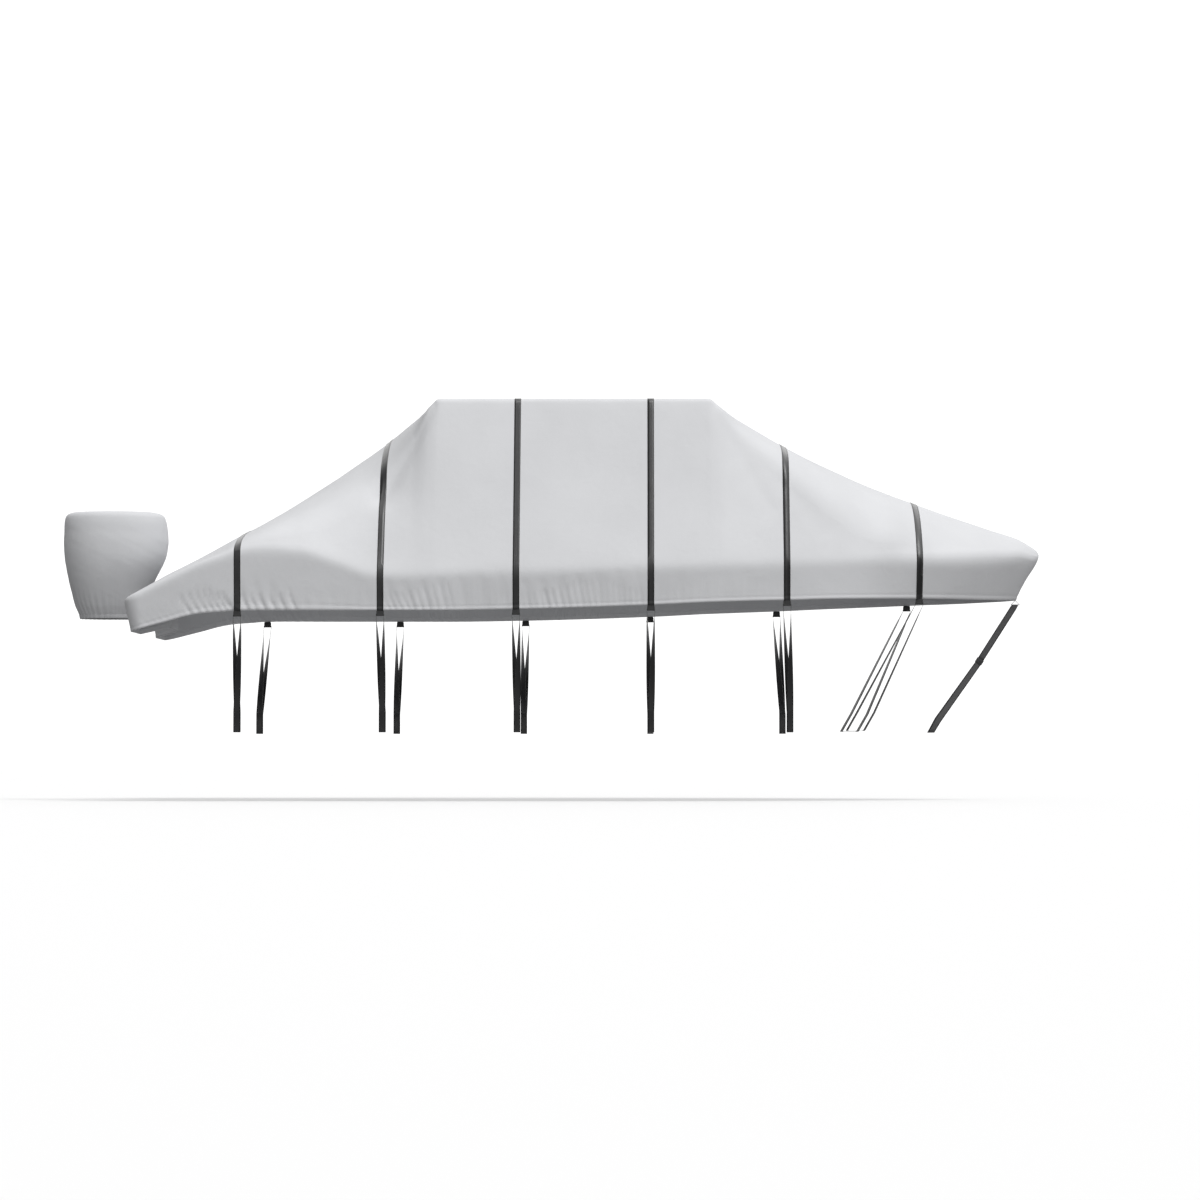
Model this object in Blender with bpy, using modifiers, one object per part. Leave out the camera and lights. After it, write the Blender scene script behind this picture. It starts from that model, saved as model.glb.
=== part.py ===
"""A fitted cover set for a centre-console boat with a T-top: cover, outboard hood, webbing and tie-downs.

Metres, +Z up, bow to +X, starboard to -Y.  The origin is on the inner face of the cover's roof, at the
middle of the T-top that holds it up.  Boat, motor and trailer are not part of the set.
"""

import math
from typing import NamedTuple

import bmesh
import bpy
from mathutils import Vector

# ---------------------------------------------------------------- driving dimensions
CLOTH = 0.002  # thickness of the coated cloth
WEBBING_WIDTH = 0.044
WEBBING = 0.002  # thickness of the webbing
LAY = 0.0006  # webbing to the cloth under it
SEAT = 0.0003  # gap between pieces that touch

ROOF_HALF_LENGTH = 0.915
STERN_X = -3.012
BOW_X = 3.217
MAX_HALF_BEAM = 1.220
STERN_HALF_BEAM = 1.130
STERN_CORNER = 0.100  # plan radius of the stern corners
BOW_TAPER_START = 0.440  # the sides start to close towards the bow here
STEM_RAKE = 0.165  # how far the bow's hem lies aft of its gunwale corner
STERN_LEAN = 0.046  # how far the stern's hem lies forward of its corner
BOW_RAKE_START = 1.650
NOTCH_HALF_WIDTH = 0.370  # cut-out in the stern for the outboard
NOTCH_DEPTH = 0.210
NOTCH_SOFTNESS = 0.100
NOTCH_REACH = 0.600  # how far forward the cloth still bends round the cut-out
HEM_TUCK = 0.020  # share of the half beam by which the hem is drawn in
BOW_TUCK = 0.230


class Station(NamedTuple):
    """One cross-section of the cover.  Drops are measured down from the roof's outer face."""

    x: float
    ridge: float  # drop of the centre line
    shoulder_half: float  # half width at the shoulder, where the top turns into the side
    shoulder: float  # drop of the shoulder
    crease: float  # drop of the gunwale crease
    hem: float  # drop of the hem


STATIONS = [
    Station(-3.012, 1.325, 0.850, 1.348, 1.375, 1.587),
    Station(-2.750, 1.155, 0.900, 1.207, 1.247, 1.527),
    Station(-2.480, 1.003, 0.980, 1.098, 1.120, 1.468),
    Station(-2.335, 0.923, 1.050, 1.030, 1.072, 1.457),
    Station(-2.275, 0.891, 1.085, 1.003, 1.054, 1.452),
    Station(-2.120, 0.805, 1.100, 0.942, 1.036, 1.449),
    Station(-1.830, 0.621, 1.040, 0.842, 1.050, 1.449),
    Station(-1.570, 0.446, 0.950, 0.712, 1.128, 1.449),
    Station(-1.320, 0.268, 0.870, 0.518, 1.210, 1.449),
    Station(-1.100, 0.094, 0.815, 0.240, 1.215, 1.449),
    Station(-0.980, 0.016, 0.798, 0.050, 1.210, 1.449),
    Station(-0.915, 0.000, 0.790, 0.000, 1.205, 1.449),
    Station(-0.350, 0.000, 0.790, 0.000, 1.190, 1.441),
    Station(0.530, 0.000, 0.790, 0.000, 1.162, 1.414),
    Station(0.915, 0.000, 0.790, 0.000, 1.147, 1.395),
    Station(0.975, 0.012, 0.790, 0.042, 1.145, 1.393),
    Station(1.125, 0.096, 0.805, 0.205, 1.140, 1.388),
    Station(1.460, 0.291, 0.850, 0.430, 1.130, 1.378),
    Station(1.730, 0.422, 0.870, 0.655, 1.118, 1.368),
    Station(2.070, 0.570, 0.830, 0.880, 1.100, 1.360),
    Station(2.310, 0.658, 0.660, 0.900, 1.088, 1.355),
    Station(2.550, 0.745, 0.450, 0.892, 1.073, 1.351),
    Station(2.820, 0.835, 0.300, 0.934, 1.055, 1.349),
    Station(3.080, 0.925, 0.130, 0.980, 1.040, 1.345),
    Station(3.217, 0.997, 0.001, 1.010, 1.035, 1.340),
]


class Fold(NamedTuple):
    """A soft trough (depth above 0) or ridge (below 0) along a line seen from the side, on both sides."""

    x_top: float
    drop_top: float
    x_end: float
    drop_end: float
    width: float
    depth: float


CORNER_FOLDS = [
    Fold(-0.905, 0.050, -1.140, 0.470, 0.045, 0.020),
    Fold(-1.140, 0.470, -1.225, 0.740, 0.045, 0.014),
    Fold(0.950, 0.060, 1.330, 0.760, 0.040, 0.010),
    Fold(0.950, 0.060, 1.700, 0.900, 0.045, 0.010),
    Fold(0.980, 0.100, 1.010, 1.050, 0.060, -0.008),
]


class PuckerZone(NamedTuple):
    """A run of the hem that its cord has drawn into short leaning puckers."""

    x_from: float
    x_to: float
    count: int
    depth: float


PUCKER_ZONES = [
    PuckerZone(-2.640, -2.270, 5, 0.009),
    PuckerZone(-2.170, -1.960, 3, 0.007),
    PuckerZone(-1.240, -0.820, 5, 0.008),
    PuckerZone(-0.280, 0.320, 7, 0.009),
    PuckerZone(0.960, 1.380, 4, 0.004),
]
PUCKER_HEIGHT = 0.210
PUCKER_LEAN = 0.065  # how far forward its foot lies of its head
PUCKER_WIDTH = 0.020
PUCKER_STEP = 0.026  # longest edge along the hem in these runs

STRAP_X = [-2.240, -1.283, -0.377, 0.522, 1.432, 2.342]


# ---------------------------------------------------------------- small helpers
def clear_scene():
    for obj in list(bpy.data.objects):
        bpy.data.objects.remove(obj)


def collection(name):
    made = bpy.data.collections.new(name)
    bpy.context.scene.collection.children.link(made)
    return made


def material(name, colour, roughness, metallic=0.0):
    made = bpy.data.materials.new(name)
    made.use_nodes = True
    shader = made.node_tree.nodes["Principled BSDF"]
    shader.inputs["Base Color"].default_value = (*colour, 1.0)
    shader.inputs["Roughness"].default_value = roughness
    shader.inputs["Metallic"].default_value = metallic
    return made


def add_object(name, mesh, parts, finish):
    obj = bpy.data.objects.new(name, mesh)
    mesh.materials.append(finish)
    parts.objects.link(obj)
    return obj


def mesh_of(bm, name):
    mesh = bpy.data.meshes.new(name)
    bm.to_mesh(mesh)
    bm.free()
    return mesh


def solidify(obj, thickness, offset):
    """offset -1 grows the wall inwards from the surface, +1 outwards, 0 both ways."""
    wall = obj.modifiers.new("wall", "SOLIDIFY")
    wall.thickness = thickness
    wall.offset = offset
    wall.use_even_offset = True
    wall.use_quality_normals = True


def smoothstep(value):
    value = min(max(value, 0.0), 1.0)
    return value * value * (3.0 - 2.0 * value)


def lerp(a, b, share):
    return a + (b - a) * share


# ---------------------------------------------------------------- the cover's form
def eased(column, x):
    """A column of STATIONS at x, on a curve that never overshoots its rows."""
    xs = [row.x for row in STATIONS]
    values = [getattr(row, column) for row in STATIONS]
    x = min(max(x, xs[0]), xs[-1])
    i = max(k for k in range(len(xs) - 1) if xs[k] <= x)
    rises = [(values[k + 1] - values[k]) / (xs[k + 1] - xs[k]) for k in range(len(xs) - 1)]

    def slope(k):
        if k in (0, len(xs) - 1):
            return rises[min(k, len(rises) - 1)]
        before, after = rises[k - 1], rises[k]
        return 0.0 if before * after <= 0 else 2.0 * before * after / (before + after)

    span = xs[i + 1] - xs[i]
    s = (x - xs[i]) / span
    return (
        (2 * s**3 - 3 * s**2 + 1) * values[i]
        + (s**3 - 2 * s**2 + s) * span * slope(i)
        + (3 * s**2 - 2 * s**3) * values[i + 1]
        + (s**3 - s**2) * span * slope(i + 1)
    )


def height(column, x):
    """The height of a column's drop: the roof's outer face stands one thickness of cloth above the origin."""
    return CLOTH - eased(column, x)


def half_beam(x):
    """Half width in plan at the gunwale crease."""
    aft = max(0.0, (-0.45 - x) / (-0.45 - STERN_X))
    half = lerp(MAX_HALF_BEAM, STERN_HALF_BEAM, aft**2)
    forward = max(0.0, (x - BOW_TAPER_START) / (BOW_X - BOW_TAPER_START))
    half *= max(0.0, 1.0 - forward**2.2) ** 0.8
    into_corner = STERN_CORNER - (x - STERN_X)
    if into_corner > 0:
        half -= STERN_CORNER - math.sqrt(max(0.0, STERN_CORNER**2 - into_corner**2))
    return half


SHOULDER_RADIUS = 0.060
SOFT_SHOULDER_RADIUS = 0.160
CREASE_RADIUS = 0.055
TOP_SHARES = (0.0, 0.20, 0.38, 0.46, 0.72)  # where the columns stand between centre and shoulder
SIDE_SHARES = (0.25, 0.50, 0.75)  # and between shoulder and crease
BAND_SHARES = (0.20, 0.60, 1.00)  # and between crease and hem


def towards(a, b, distance):
    """The point this far from a towards b, and never past a little under half way."""
    step = b - a
    reach = min(distance, 0.45 * step.length)
    return a + step.normalized() * reach if step.length > 1e-9 else a.copy()


def section(x):
    """Half of the cross-section at x, as (y, z) points from the centre to the crease's corner."""
    centre = Vector((0.0, height("ridge", x)))
    crease = Vector((half_beam(x), height("crease", x)))
    shoulder_half = min(eased("shoulder_half", x), 0.93 * crease.x)
    shoulder = Vector((shoulder_half, height("shoulder", x)))
    past_roof = min(1.0, max(0.0, abs(x) - ROOF_HALF_LENGTH) / 0.5)
    radius = lerp(SHOULDER_RADIUS, SOFT_SHOULDER_RADIUS, past_roof)

    def crown(share):
        return Vector((shoulder.x * share, lerp(centre.y, shoulder.y, share**2)))

    before = crown(max(0.75, 1.0 - radius / max(shoulder.x, 1e-6)))
    after = towards(shoulder, crease, radius)
    points = [crown(share) for share in TOP_SHARES]
    points += [before, (before + 2.0 * shoulder + after) / 4.0, after]
    low = towards(crease, shoulder, CREASE_RADIUS)
    points += [after.lerp(low, share) for share in SIDE_SHARES]
    points += [low, crease]
    return points


HALF_COLUMNS = len(section(0.0)) - 1


def notch_shift(x, y):
    """How far forward the outboard's cut-out pushes the cloth at this place."""
    across = smoothstep((NOTCH_HALF_WIDTH + NOTCH_SOFTNESS / 2 - abs(y)) / NOTCH_SOFTNESS)
    return NOTCH_DEPTH * across * max(0.0, 1.0 - (x - STERN_X) / NOTCH_REACH)


def surface_point(x, column):
    """A point of the top: column 0 is the centre line, +-HALF_COLUMNS the crease to port or starboard."""
    side = 1.0 if column > 0 else -1.0
    y = section(x)[abs(column)].x
    x += notch_shift(x, y)
    point = section(x)[abs(column)]
    return Vector((x, side * min(y, half_beam(x)), point.y))


def hem_point(corner):
    """The hem below a point of the crease."""
    bow = max(0.0, (corner.x - BOW_RAKE_START) / (BOW_X - BOW_RAKE_START))
    stern = max(0.0, 1.0 - (corner.x - STERN_X) / 0.4)
    tuck = HEM_TUCK + BOW_TUCK * bow**1.5
    x = corner.x - STEM_RAKE * bow**2 + STERN_LEAN * stern
    return Vector((x, corner.y * (1.0 - tuck), height("hem", corner.x)))


def puckers():
    """The zones' puckers one by one, unevenly spaced and deep."""
    made = []
    for zone in PUCKER_ZONES:
        pitch = (zone.x_to - zone.x_from) / zone.count
        for k in range(zone.count):
            uneven = math.sin(12.9898 * (k + 1) + 7.1 * zone.x_from)
            head = zone.x_from + pitch * (k + 0.5 + 0.22 * uneven)
            foot_drop = eased("hem", head) + 0.02
            made.append(
                Fold(
                    head - PUCKER_LEAN / 2,
                    foot_drop - PUCKER_HEIGHT * (1.0 + 0.2 * uneven),
                    head + PUCKER_LEAN / 2,
                    foot_drop,
                    PUCKER_WIDTH,
                    zone.depth * (1.0 - 0.35 * uneven),
                )
            )
    return made


FOLDS = CORNER_FOLDS + puckers()


def folded(point):
    """The point moved in or out, square to the side, by the folds that run near it."""
    moved = 0.0
    for fold in FOLDS:
        top = Vector((fold.x_top, -fold.drop_top))
        run = Vector((fold.x_end, -fold.drop_end)) - top
        seen = Vector((point.x, point.z)) - top
        along = min(max(seen.dot(run) / run.length_squared, 0.0), 1.0)
        away = (seen - run * along).length
        if away < 3.0 * fold.width:
            moved += fold.depth * math.exp(-((away / fold.width) ** 2))
    if abs(point.y) < 0.2:
        return point
    return point - Vector((0.0, math.copysign(moved, point.y), 0.0))


def station_places():
    """Where the grid's rows stand: close at the stern's corners, the roof's edges and the bow."""
    places = [STERN_X + STERN_CORNER * share for share in (0.0, 0.12, 0.45, 1.0)]
    runs = [
        (STERN_X + STERN_CORNER, -1.30, 10),
        (-1.30, -ROOF_HALF_LENGTH, 5),
        (-ROOF_HALF_LENGTH, ROOF_HALF_LENGTH, 4),
        (ROOF_HALF_LENGTH, 1.30, 5),
        (1.30, 3.05, 11),
    ]
    for start, end, count in runs:
        places += [lerp(start, end, (k + 1) / count) for k in range(count)]
    return places + [3.14, 3.19, BOW_X]


def outer_sheet():
    """The cover's outer surface, as one open sheet of triangles."""
    places = station_places()
    rows = len(places) - 1
    bm = bmesh.new()
    bmesh.ops.create_grid(bm, x_segments=rows, y_segments=2 * HALF_COLUMNS, size=1.0)
    for vert in bm.verts:
        row = round((vert.co.x + 1.0) / 2.0 * rows)
        column = round((vert.co.y + 1.0) * HALF_COLUMNS) - HALF_COLUMNS
        vert.co = surface_point(places[row], column)
    bmesh.ops.remove_doubles(bm, verts=bm.verts, dist=0.0015)
    divide_puckered_edges(bm)
    drop_band(bm)
    bmesh.ops.triangulate(bm, faces=bm.faces)
    bmesh.ops.recalc_face_normals(bm, faces=bm.faces)
    if max(bm.faces, key=lambda face: face.calc_center_median().z).normal.z < 0:
        bmesh.ops.reverse_faces(bm, faces=bm.faces)
    return bm


def divide_puckered_edges(bm):
    """Shortens the crease's edges above the puckers, so that the band below can follow them."""
    for zone in PUCKER_ZONES:
        edges = [
            edge
            for edge in bm.edges
            if edge.is_boundary
            and zone.x_from - 0.06 < (edge.verts[0].co.x + edge.verts[1].co.x) / 2 < zone.x_to + 0.06
            and abs(edge.verts[0].co.x - edge.verts[1].co.x) > PUCKER_STEP
        ]
        for edge in edges:
            cuts = math.ceil(edge.calc_length() / PUCKER_STEP) - 1
            made = bmesh.ops.subdivide_edges(bm, edges=[edge], cuts=cuts)["geom_inner"]
            for vert in (item for item in made if isinstance(item, bmesh.types.BMVert)):
                vert.co.y = math.copysign(half_beam(vert.co.x), vert.co.y)
                vert.co.z = height("crease", vert.co.x)


def drop_band(bm):
    """Hangs the band from the crease down to the hem, row by row, and rounds the crease."""
    border = [edge for edge in bm.edges if edge.is_boundary]
    corner_of = {vert: vert.co.copy() for edge in border for vert in edge.verts}
    for share in BAND_SHARES:
        made = bmesh.ops.extrude_edge_only(bm, edges=border)["geom"]
        border = [item for item in made if isinstance(item, bmesh.types.BMEdge) and item.is_boundary]
        for vert in (item for item in made if isinstance(item, bmesh.types.BMVert)):
            above = next(v for v in linked(vert) if v in corner_of and (v.co - vert.co).length < 1e-7)
            corner_of[vert] = corner_of[above]
        for vert in {v for edge in border for v in edge.verts}:
            corner = corner_of[vert]
            vert.co = corner.lerp(hem_point(corner), share)
    soften_crease(bm, corner_of)
    for vert in bm.verts:
        vert.co = folded(vert.co)


def linked(vert):
    return [edge.other_vert(vert) for edge in vert.link_edges]


def soften_crease(bm, corner_of):
    """Pulls the crease's corner points in, half way to the chord between their neighbours."""
    corners = {vert for vert, corner in corner_of.items() if (vert.co - corner).length < 1e-7}
    moved = {}
    for vert in corners:
        others = [v.co for v in linked(vert) if v not in corners]
        if len(others) == 1:
            low = section(vert.co.x)[-2]
            others.append(Vector((vert.co.x, math.copysign(low.x, vert.co.y), low.y)))
        moved[vert] = vert.co.lerp(sum(others, Vector()) / len(others), 0.5)
    for vert, place in moved.items():
        vert.co = place


def build_cover(sheet, parts, cloth):
    cover = add_object("cover", mesh_of(sheet.copy(), "cover"), parts, cloth)
    cover.data.shade_smooth()
    solidify(cover, CLOTH, -1.0)


# ---------------------------------------------------------------- webbing over the cover
STRAP_NECK = 0.0045  # below the hem the webbing is flat by here
STRAP_TAIL = 0.0145  # and ends here, in its buckle


def build_overhead_strap(number, x, sheet, parts, webbing):
    """A band of webbing cut from the cover's own form, from buckle to buckle over the top.

    Returns the middle of its two lower ends, starboard first."""
    bm = sheet.copy()
    for offset, normal in ((-0.5, -1.0), (0.5, 1.0)):
        bmesh.ops.bisect_plane(
            bm,
            geom=[*bm.verts, *bm.edges, *bm.faces],
            plane_co=(x + offset * WEBBING_WIDTH, 0.0, 0.0),
            plane_no=(normal, 0.0, 0.0),
            clear_outer=True,
        )
    bmesh.ops.remove_doubles(bm, verts=bm.verts, dist=0.0004)
    bm.normal_update()
    for vert in bm.verts:
        vert.co += vert.normal * LAY * vert.calc_shell_factor()
    ends = []
    for side in (-1.0, 1.0):
        hem = [
            edge
            for edge in bm.edges
            if edge.is_boundary
            and all(side * v.co.y > 0 and v.co.z < height("hem", x) + 0.02 for v in edge.verts)
            and abs(edge.verts[0].co.x - edge.verts[1].co.x) > abs(edge.verts[0].co.z - edge.verts[1].co.z)
        ]
        verts = {v for edge in hem for v in edge.verts}
        lowest = min(v.co.z for v in verts)
        middle = sum(v.co.y for v in verts) / len(verts)
        for level in (lowest - drop for drop in (STRAP_NECK / 2, STRAP_NECK, STRAP_TAIL)):
            made = bmesh.ops.extrude_edge_only(bm, edges=hem)["geom"]
            hem = [item for item in made if isinstance(item, bmesh.types.BMEdge) and item.is_boundary]
            hem = [e for e in hem if abs(e.verts[0].co.x - e.verts[1].co.x) > WEBBING_WIDTH / 50]
            for vert in (item for item in made if isinstance(item, bmesh.types.BMVert)):
                vert.co.y = middle
                vert.co.z = level
        ends.append(Vector((x, middle + side * WEBBING / 2, level)))
    strap = add_object(f"overhead_strap_{number}", mesh_of(bm, "overhead_strap"), parts, webbing)
    solidify(strap, WEBBING, 1.0)
    return ends


# ---------------------------------------------------------------- ribbons of webbing
def ribbon(name, rows, parts, finish, closed=False):
    """A strip of webbing along rows of (middle, half width vector); a closed one ends where it starts."""
    bm = bmesh.new()
    last = len(rows) if closed else len(rows) - 1
    bmesh.ops.create_grid(bm, x_segments=last, y_segments=1, size=1.0)
    for vert in bm.verts:
        middle, half = rows[round((vert.co.x + 1.0) / 2.0 * last) % len(rows)]
        vert.co = middle + half * (1.0 if vert.co.y > 0 else -1.0)
    bmesh.ops.remove_doubles(bm, verts=bm.verts, dist=1e-5)
    bmesh.ops.recalc_face_normals(bm, faces=bm.faces)
    obj = add_object(name, mesh_of(bm, name), parts, finish)
    solidify(obj, WEBBING, 0.0)
    return obj


# ---------------------------------------------------------------- hem buckles
BUCKLE_WIDTH = 0.050
BUCKLE_HEIGHT = 0.034
BUCKLE_DEPTH = 0.018
POCKET = Vector((0.0448, 0.0028, 0.0100))  # takes the end of the overhead webbing
TUNNEL_DROP = 0.0215  # the loop's tunnel, its middle below the buckle's top
TUNNEL_HEIGHT = 0.0032
TUNNEL_DEPTH = 0.0150
LOOP_HALF_WIDTH_IN_TUNNEL = 0.0065


def box(bm, size, place):
    made = bmesh.ops.create_cube(bm, size=1.0)["verts"]
    bmesh.ops.scale(bm, vec=size, verts=made)
    bmesh.ops.translate(bm, vec=place, verts=made)
    return made


def cutter(name, size, place, cutters):
    bm = bmesh.new()
    box(bm, size, place)
    obj = bpy.data.objects.new(name, mesh_of(bm, name))
    obj.hide_render = True
    obj.display_type = "WIRE"
    cutters.objects.link(obj)
    return obj


def cut(obj, cutters):
    for other in cutters:
        step = obj.modifiers.new(other.name, "BOOLEAN")
        step.operation = "DIFFERENCE"
        step.object = other


def evaluated_mesh(obj, name):
    """The object's mesh with its modifiers applied, after which the object goes."""
    bpy.context.view_layer.update()
    mesh = bpy.data.meshes.new_from_object(obj.evaluated_get(bpy.context.evaluated_depsgraph_get()))
    mesh.name = name
    bpy.data.objects.remove(obj)
    return mesh


def buckle_mesh(parts, cutters, plastic):
    """A flat block with a pocket in its top and a tunnel from side to side; its top middle is at the origin."""
    bm = bmesh.new()
    box(bm, (BUCKLE_WIDTH, BUCKLE_DEPTH, BUCKLE_HEIGHT), (0.0, 0.0, -BUCKLE_HEIGHT / 2))
    upright = [e for e in bm.edges if abs(e.verts[0].co.z - e.verts[1].co.z) > BUCKLE_HEIGHT / 2]
    bmesh.ops.bevel(bm, geom=upright, offset=0.004, segments=2, profile=0.5, affect="EDGES")
    block = add_object("buckle_block", mesh_of(bm, "buckle_block"), parts, plastic)
    pocket = cutter("buckle_pocket", (POCKET.x, POCKET.y, 2 * POCKET.z), (0.0, 0.0, 0.0), cutters)
    tunnel_size = (2 * BUCKLE_WIDTH, TUNNEL_DEPTH, TUNNEL_HEIGHT)
    tunnel = cutter("buckle_tunnel", tunnel_size, (0.0, 0.0, -TUNNEL_DROP), cutters)
    cut(block, [pocket, tunnel])
    return evaluated_mesh(block, "hem_buckle")


def build_buckle(name, end, mesh, parts):
    """Hangs a buckle on a strap's end; returns the middle of its tunnel's floor."""
    obj = bpy.data.objects.new(name, mesh)
    obj.location = end + Vector((0.0, 0.0, POCKET.z - SEAT))
    parts.objects.link(obj)
    return obj.location - Vector((0.0, 0.0, TUNNEL_DROP + TUNNEL_HEIGHT / 2))


# ---------------------------------------------------------------- tie-down loops
class LoopEnd(NamedTuple):
    """Where a loop passes under the trailer: its middle there, and how it turns on the way down."""

    x: float
    half_y: float  # distance from the centre line
    top_drop: float  # where it meets the rail
    low_drop: float  # where it turns under the rail
    radius: float  # half the rail's width
    turn_deg: float  # 90 turns it flat against the rail's side, 0 leaves it edge on
    sweep: float  # how far towards the bow its bottom lies of where it meets the rail


LOOP_ENDS = [
    LoopEnd(-2.268, 0.850, 2.120, 2.258, 0.031, 90.0, 0.0),
    LoopEnd(-1.288, 0.850, 2.120, 2.258, 0.031, 90.0, 0.0),
    LoopEnd(-0.380, 0.850, 2.120, 2.258, 0.031, 90.0, 0.0),
    LoopEnd(0.523, 0.850, 2.120, 2.258, 0.031, 90.0, 0.0),
    LoopEnd(1.462, 0.760, 2.120, 2.258, 0.031, 90.0, 0.0),
    LoopEnd(1.990, 0.420, 2.123, 2.246, 0.062, 0.0, -0.07),
]
LOOP_STEPS = 6
LOOP_SPREAD = 0.120  # length over which the webbing opens from the tunnel to its full width


def build_loop(name, floor, side, end, parts, webbing):
    """A closed band: across the buckle's tunnel, down, under the rail and up again."""
    reach = BUCKLE_WIDTH / 2 + SEAT + WEBBING / 2
    head = floor + Vector((0.0, 0.0, SEAT + WEBBING / 2))
    foot = Vector((end.x, side * end.half_y, -end.top_drop))
    turn = math.radians(end.turn_deg)
    foot_way = Vector((math.cos(turn), side * math.sin(turn), 0.0)) * end.radius

    def strand(hand):
        """Rows from head to foot; hand 1 is the strand towards the bow, -1 the one towards the stern."""
        top = head + Vector((hand * reach, 0.0, 0.0))
        start = top - Vector((0.0, 0.0, BUCKLE_HEIGHT - TUNNEL_DROP + WEBBING))
        stop = foot + foot_way * hand
        rows = [(top, Vector((0.0, LOOP_HALF_WIDTH_IN_TUNNEL, 0.0)))]
        for step in range(LOOP_STEPS + 1):
            share = step / LOOP_STEPS
            angle = turn * share**1.15
            across = Vector((-side * math.sin(angle), math.cos(angle), 0.0))
            opened = smoothstep(share * (start - stop).length / LOOP_SPREAD)
            half = lerp(LOOP_HALF_WIDTH_IN_TUNNEL, WEBBING_WIDTH / 2, opened)
            rows.append((start.lerp(stop, share), across * half))
        return rows

    down, up = strand(1.0), strand(-1.0)
    under = Vector((end.sweep, 0.0, end.top_drop - end.low_drop))
    rows = down + [(down[-1][0] + under, down[-1][1]), (up[-1][0] + under, up[-1][1])] + up[::-1]
    return ribbon(name, rows, parts, webbing, closed=True)


# ---------------------------------------------------------------- bow tie-down
RING_WIRE = 0.002  # radius of the ring's wire
RING_CORNER = 0.004
RING_HALF_BAR = 0.031
RING_HEIGHT = 0.032
BOW_BUCKLE = Vector((2.812, 0.0, -1.746))  # middle of its upper edge
BOW_BUCKLE_SIZE = Vector((0.052, 0.014, 0.036))
BOW_POCKET_PLAY = 0.0012  # room round the webbing in its lower pocket
BOW_FOOT = Vector((2.514, 0.0, -2.167))  # where the lower strap meets the winch post
BOW_FOOT_LOW = -2.255
BOW_FOOT_AFT = 0.035  # how far aft of BOW_FOOT it turns under the post
BOW_FOOT_HALF = 0.046  # half the post's width
BOW_RETURN = 0.070  # length of the webbing that is folded back below the ring
BOW_TURN = 0.026  # below the ring's bar the webbing lies in line with its buckle by here
FLAT_HALF = Vector((WEBBING_WIDTH / 2, 0.0, 0.0))
OUT = Vector((0.0, -1.0, 0.0))  # towards starboard


def half_across(way):
    """The webbing's half width vector where it runs this way in the centre plane."""
    return Vector((-way.z, 0.0, way.x)) * WEBBING_WIDTH / 2


def build_ring(parts, steel):
    """A three-sided wire ring under the bow's hem; returns the middle of its lower bar."""
    rounding = RING_CORNER * RING_HEIGHT / math.hypot(RING_HALF_BAR, RING_HEIGHT) / 2
    apex = hem_point(Vector((BOW_X, 0.0, 0.0))) - Vector((0.0, 0.0, RING_WIRE + SEAT - rounding))
    bar = apex - Vector((0.0, 0.0, RING_HEIGHT))
    reach = Vector((RING_HALF_BAR, 0.0, 0.0))
    corners = [apex, bar + reach, bar - reach]
    places = []
    for k, corner in enumerate(corners):
        start = towards(corner, corners[k - 1], RING_CORNER)
        stop = towards(corner, corners[(k + 1) % 3], RING_CORNER)
        places += [start, (start + 2.0 * corner + stop) / 4.0, stop]
    curve = bpy.data.curves.new("bow_ring", "CURVE")
    curve.dimensions = "3D"
    curve.bevel_depth = RING_WIRE
    curve.bevel_resolution = 1
    spline = curve.splines.new("POLY")
    spline.points.add(len(places) - 1)
    for point, place in zip(spline.points, places):
        point.co = (*place, 1.0)
    spline.use_cyclic_u = True
    ring = bpy.data.objects.new("bow_ring", curve)
    curve.materials.append(steel)
    parts.objects.link(ring)
    return bar


def build_upper_bow_strap(bar, down, parts, webbing):
    """From the buckle's upper pocket over the ring's bar, and back down behind itself."""
    wrap = RING_WIRE + SEAT + WEBBING / 2
    turn = [(OUT * math.cos(a) + Vector((0.0, 0.0, math.sin(a)))) * wrap for a in (math.pi * k / 6 for k in range(7))]
    in_line = half_across(down)
    rows = [(BOW_BUCKLE + down * (POCKET.z - 2 * SEAT), in_line), (bar + down * BOW_TURN, in_line)]
    rows += [(bar + place, FLAT_HALF) for place in turn]
    rows += [
        (bar + down * BOW_TURN - OUT * 1.3 * WEBBING, in_line),
        (bar + down * BOW_RETURN - OUT * (WEBBING + SEAT), in_line),
    ]
    ribbon("bow_strap_upper", rows, parts, webbing)


def build_lower_bow_strap(down, parts, webbing):
    """A doubled strap from the buckle's lower pocket that opens round the winch post."""
    layer = (WEBBING + SEAT) / 2
    bottom = BOW_BUCKLE + down * (BOW_BUCKLE_SIZE.z - POCKET.z + 2 * SEAT)
    leave = BOW_BUCKLE + down * (BOW_BUCKLE_SIZE.z + 0.006)
    in_line = half_across(down)
    slanted = half_across((BOW_FOOT - leave).normalized())
    under = Vector((BOW_FOOT.x - BOW_FOOT_AFT, 0.0, BOW_FOOT_LOW))
    strand = [(bottom, in_line, layer), (leave, in_line, layer)]
    for share in (0.12, 0.5, 1.0):
        strand.append((leave.lerp(BOW_FOOT, share), slanted, lerp(layer, BOW_FOOT_HALF, share)))
    strand.append((under, FLAT_HALF, BOW_FOOT_HALF))
    rows = [(place + OUT * spread, half) for place, half, spread in strand]
    rows += [(place - OUT * spread, half) for place, half, spread in reversed(strand)]
    ribbon("bow_strap_lower", rows, parts, webbing)


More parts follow.
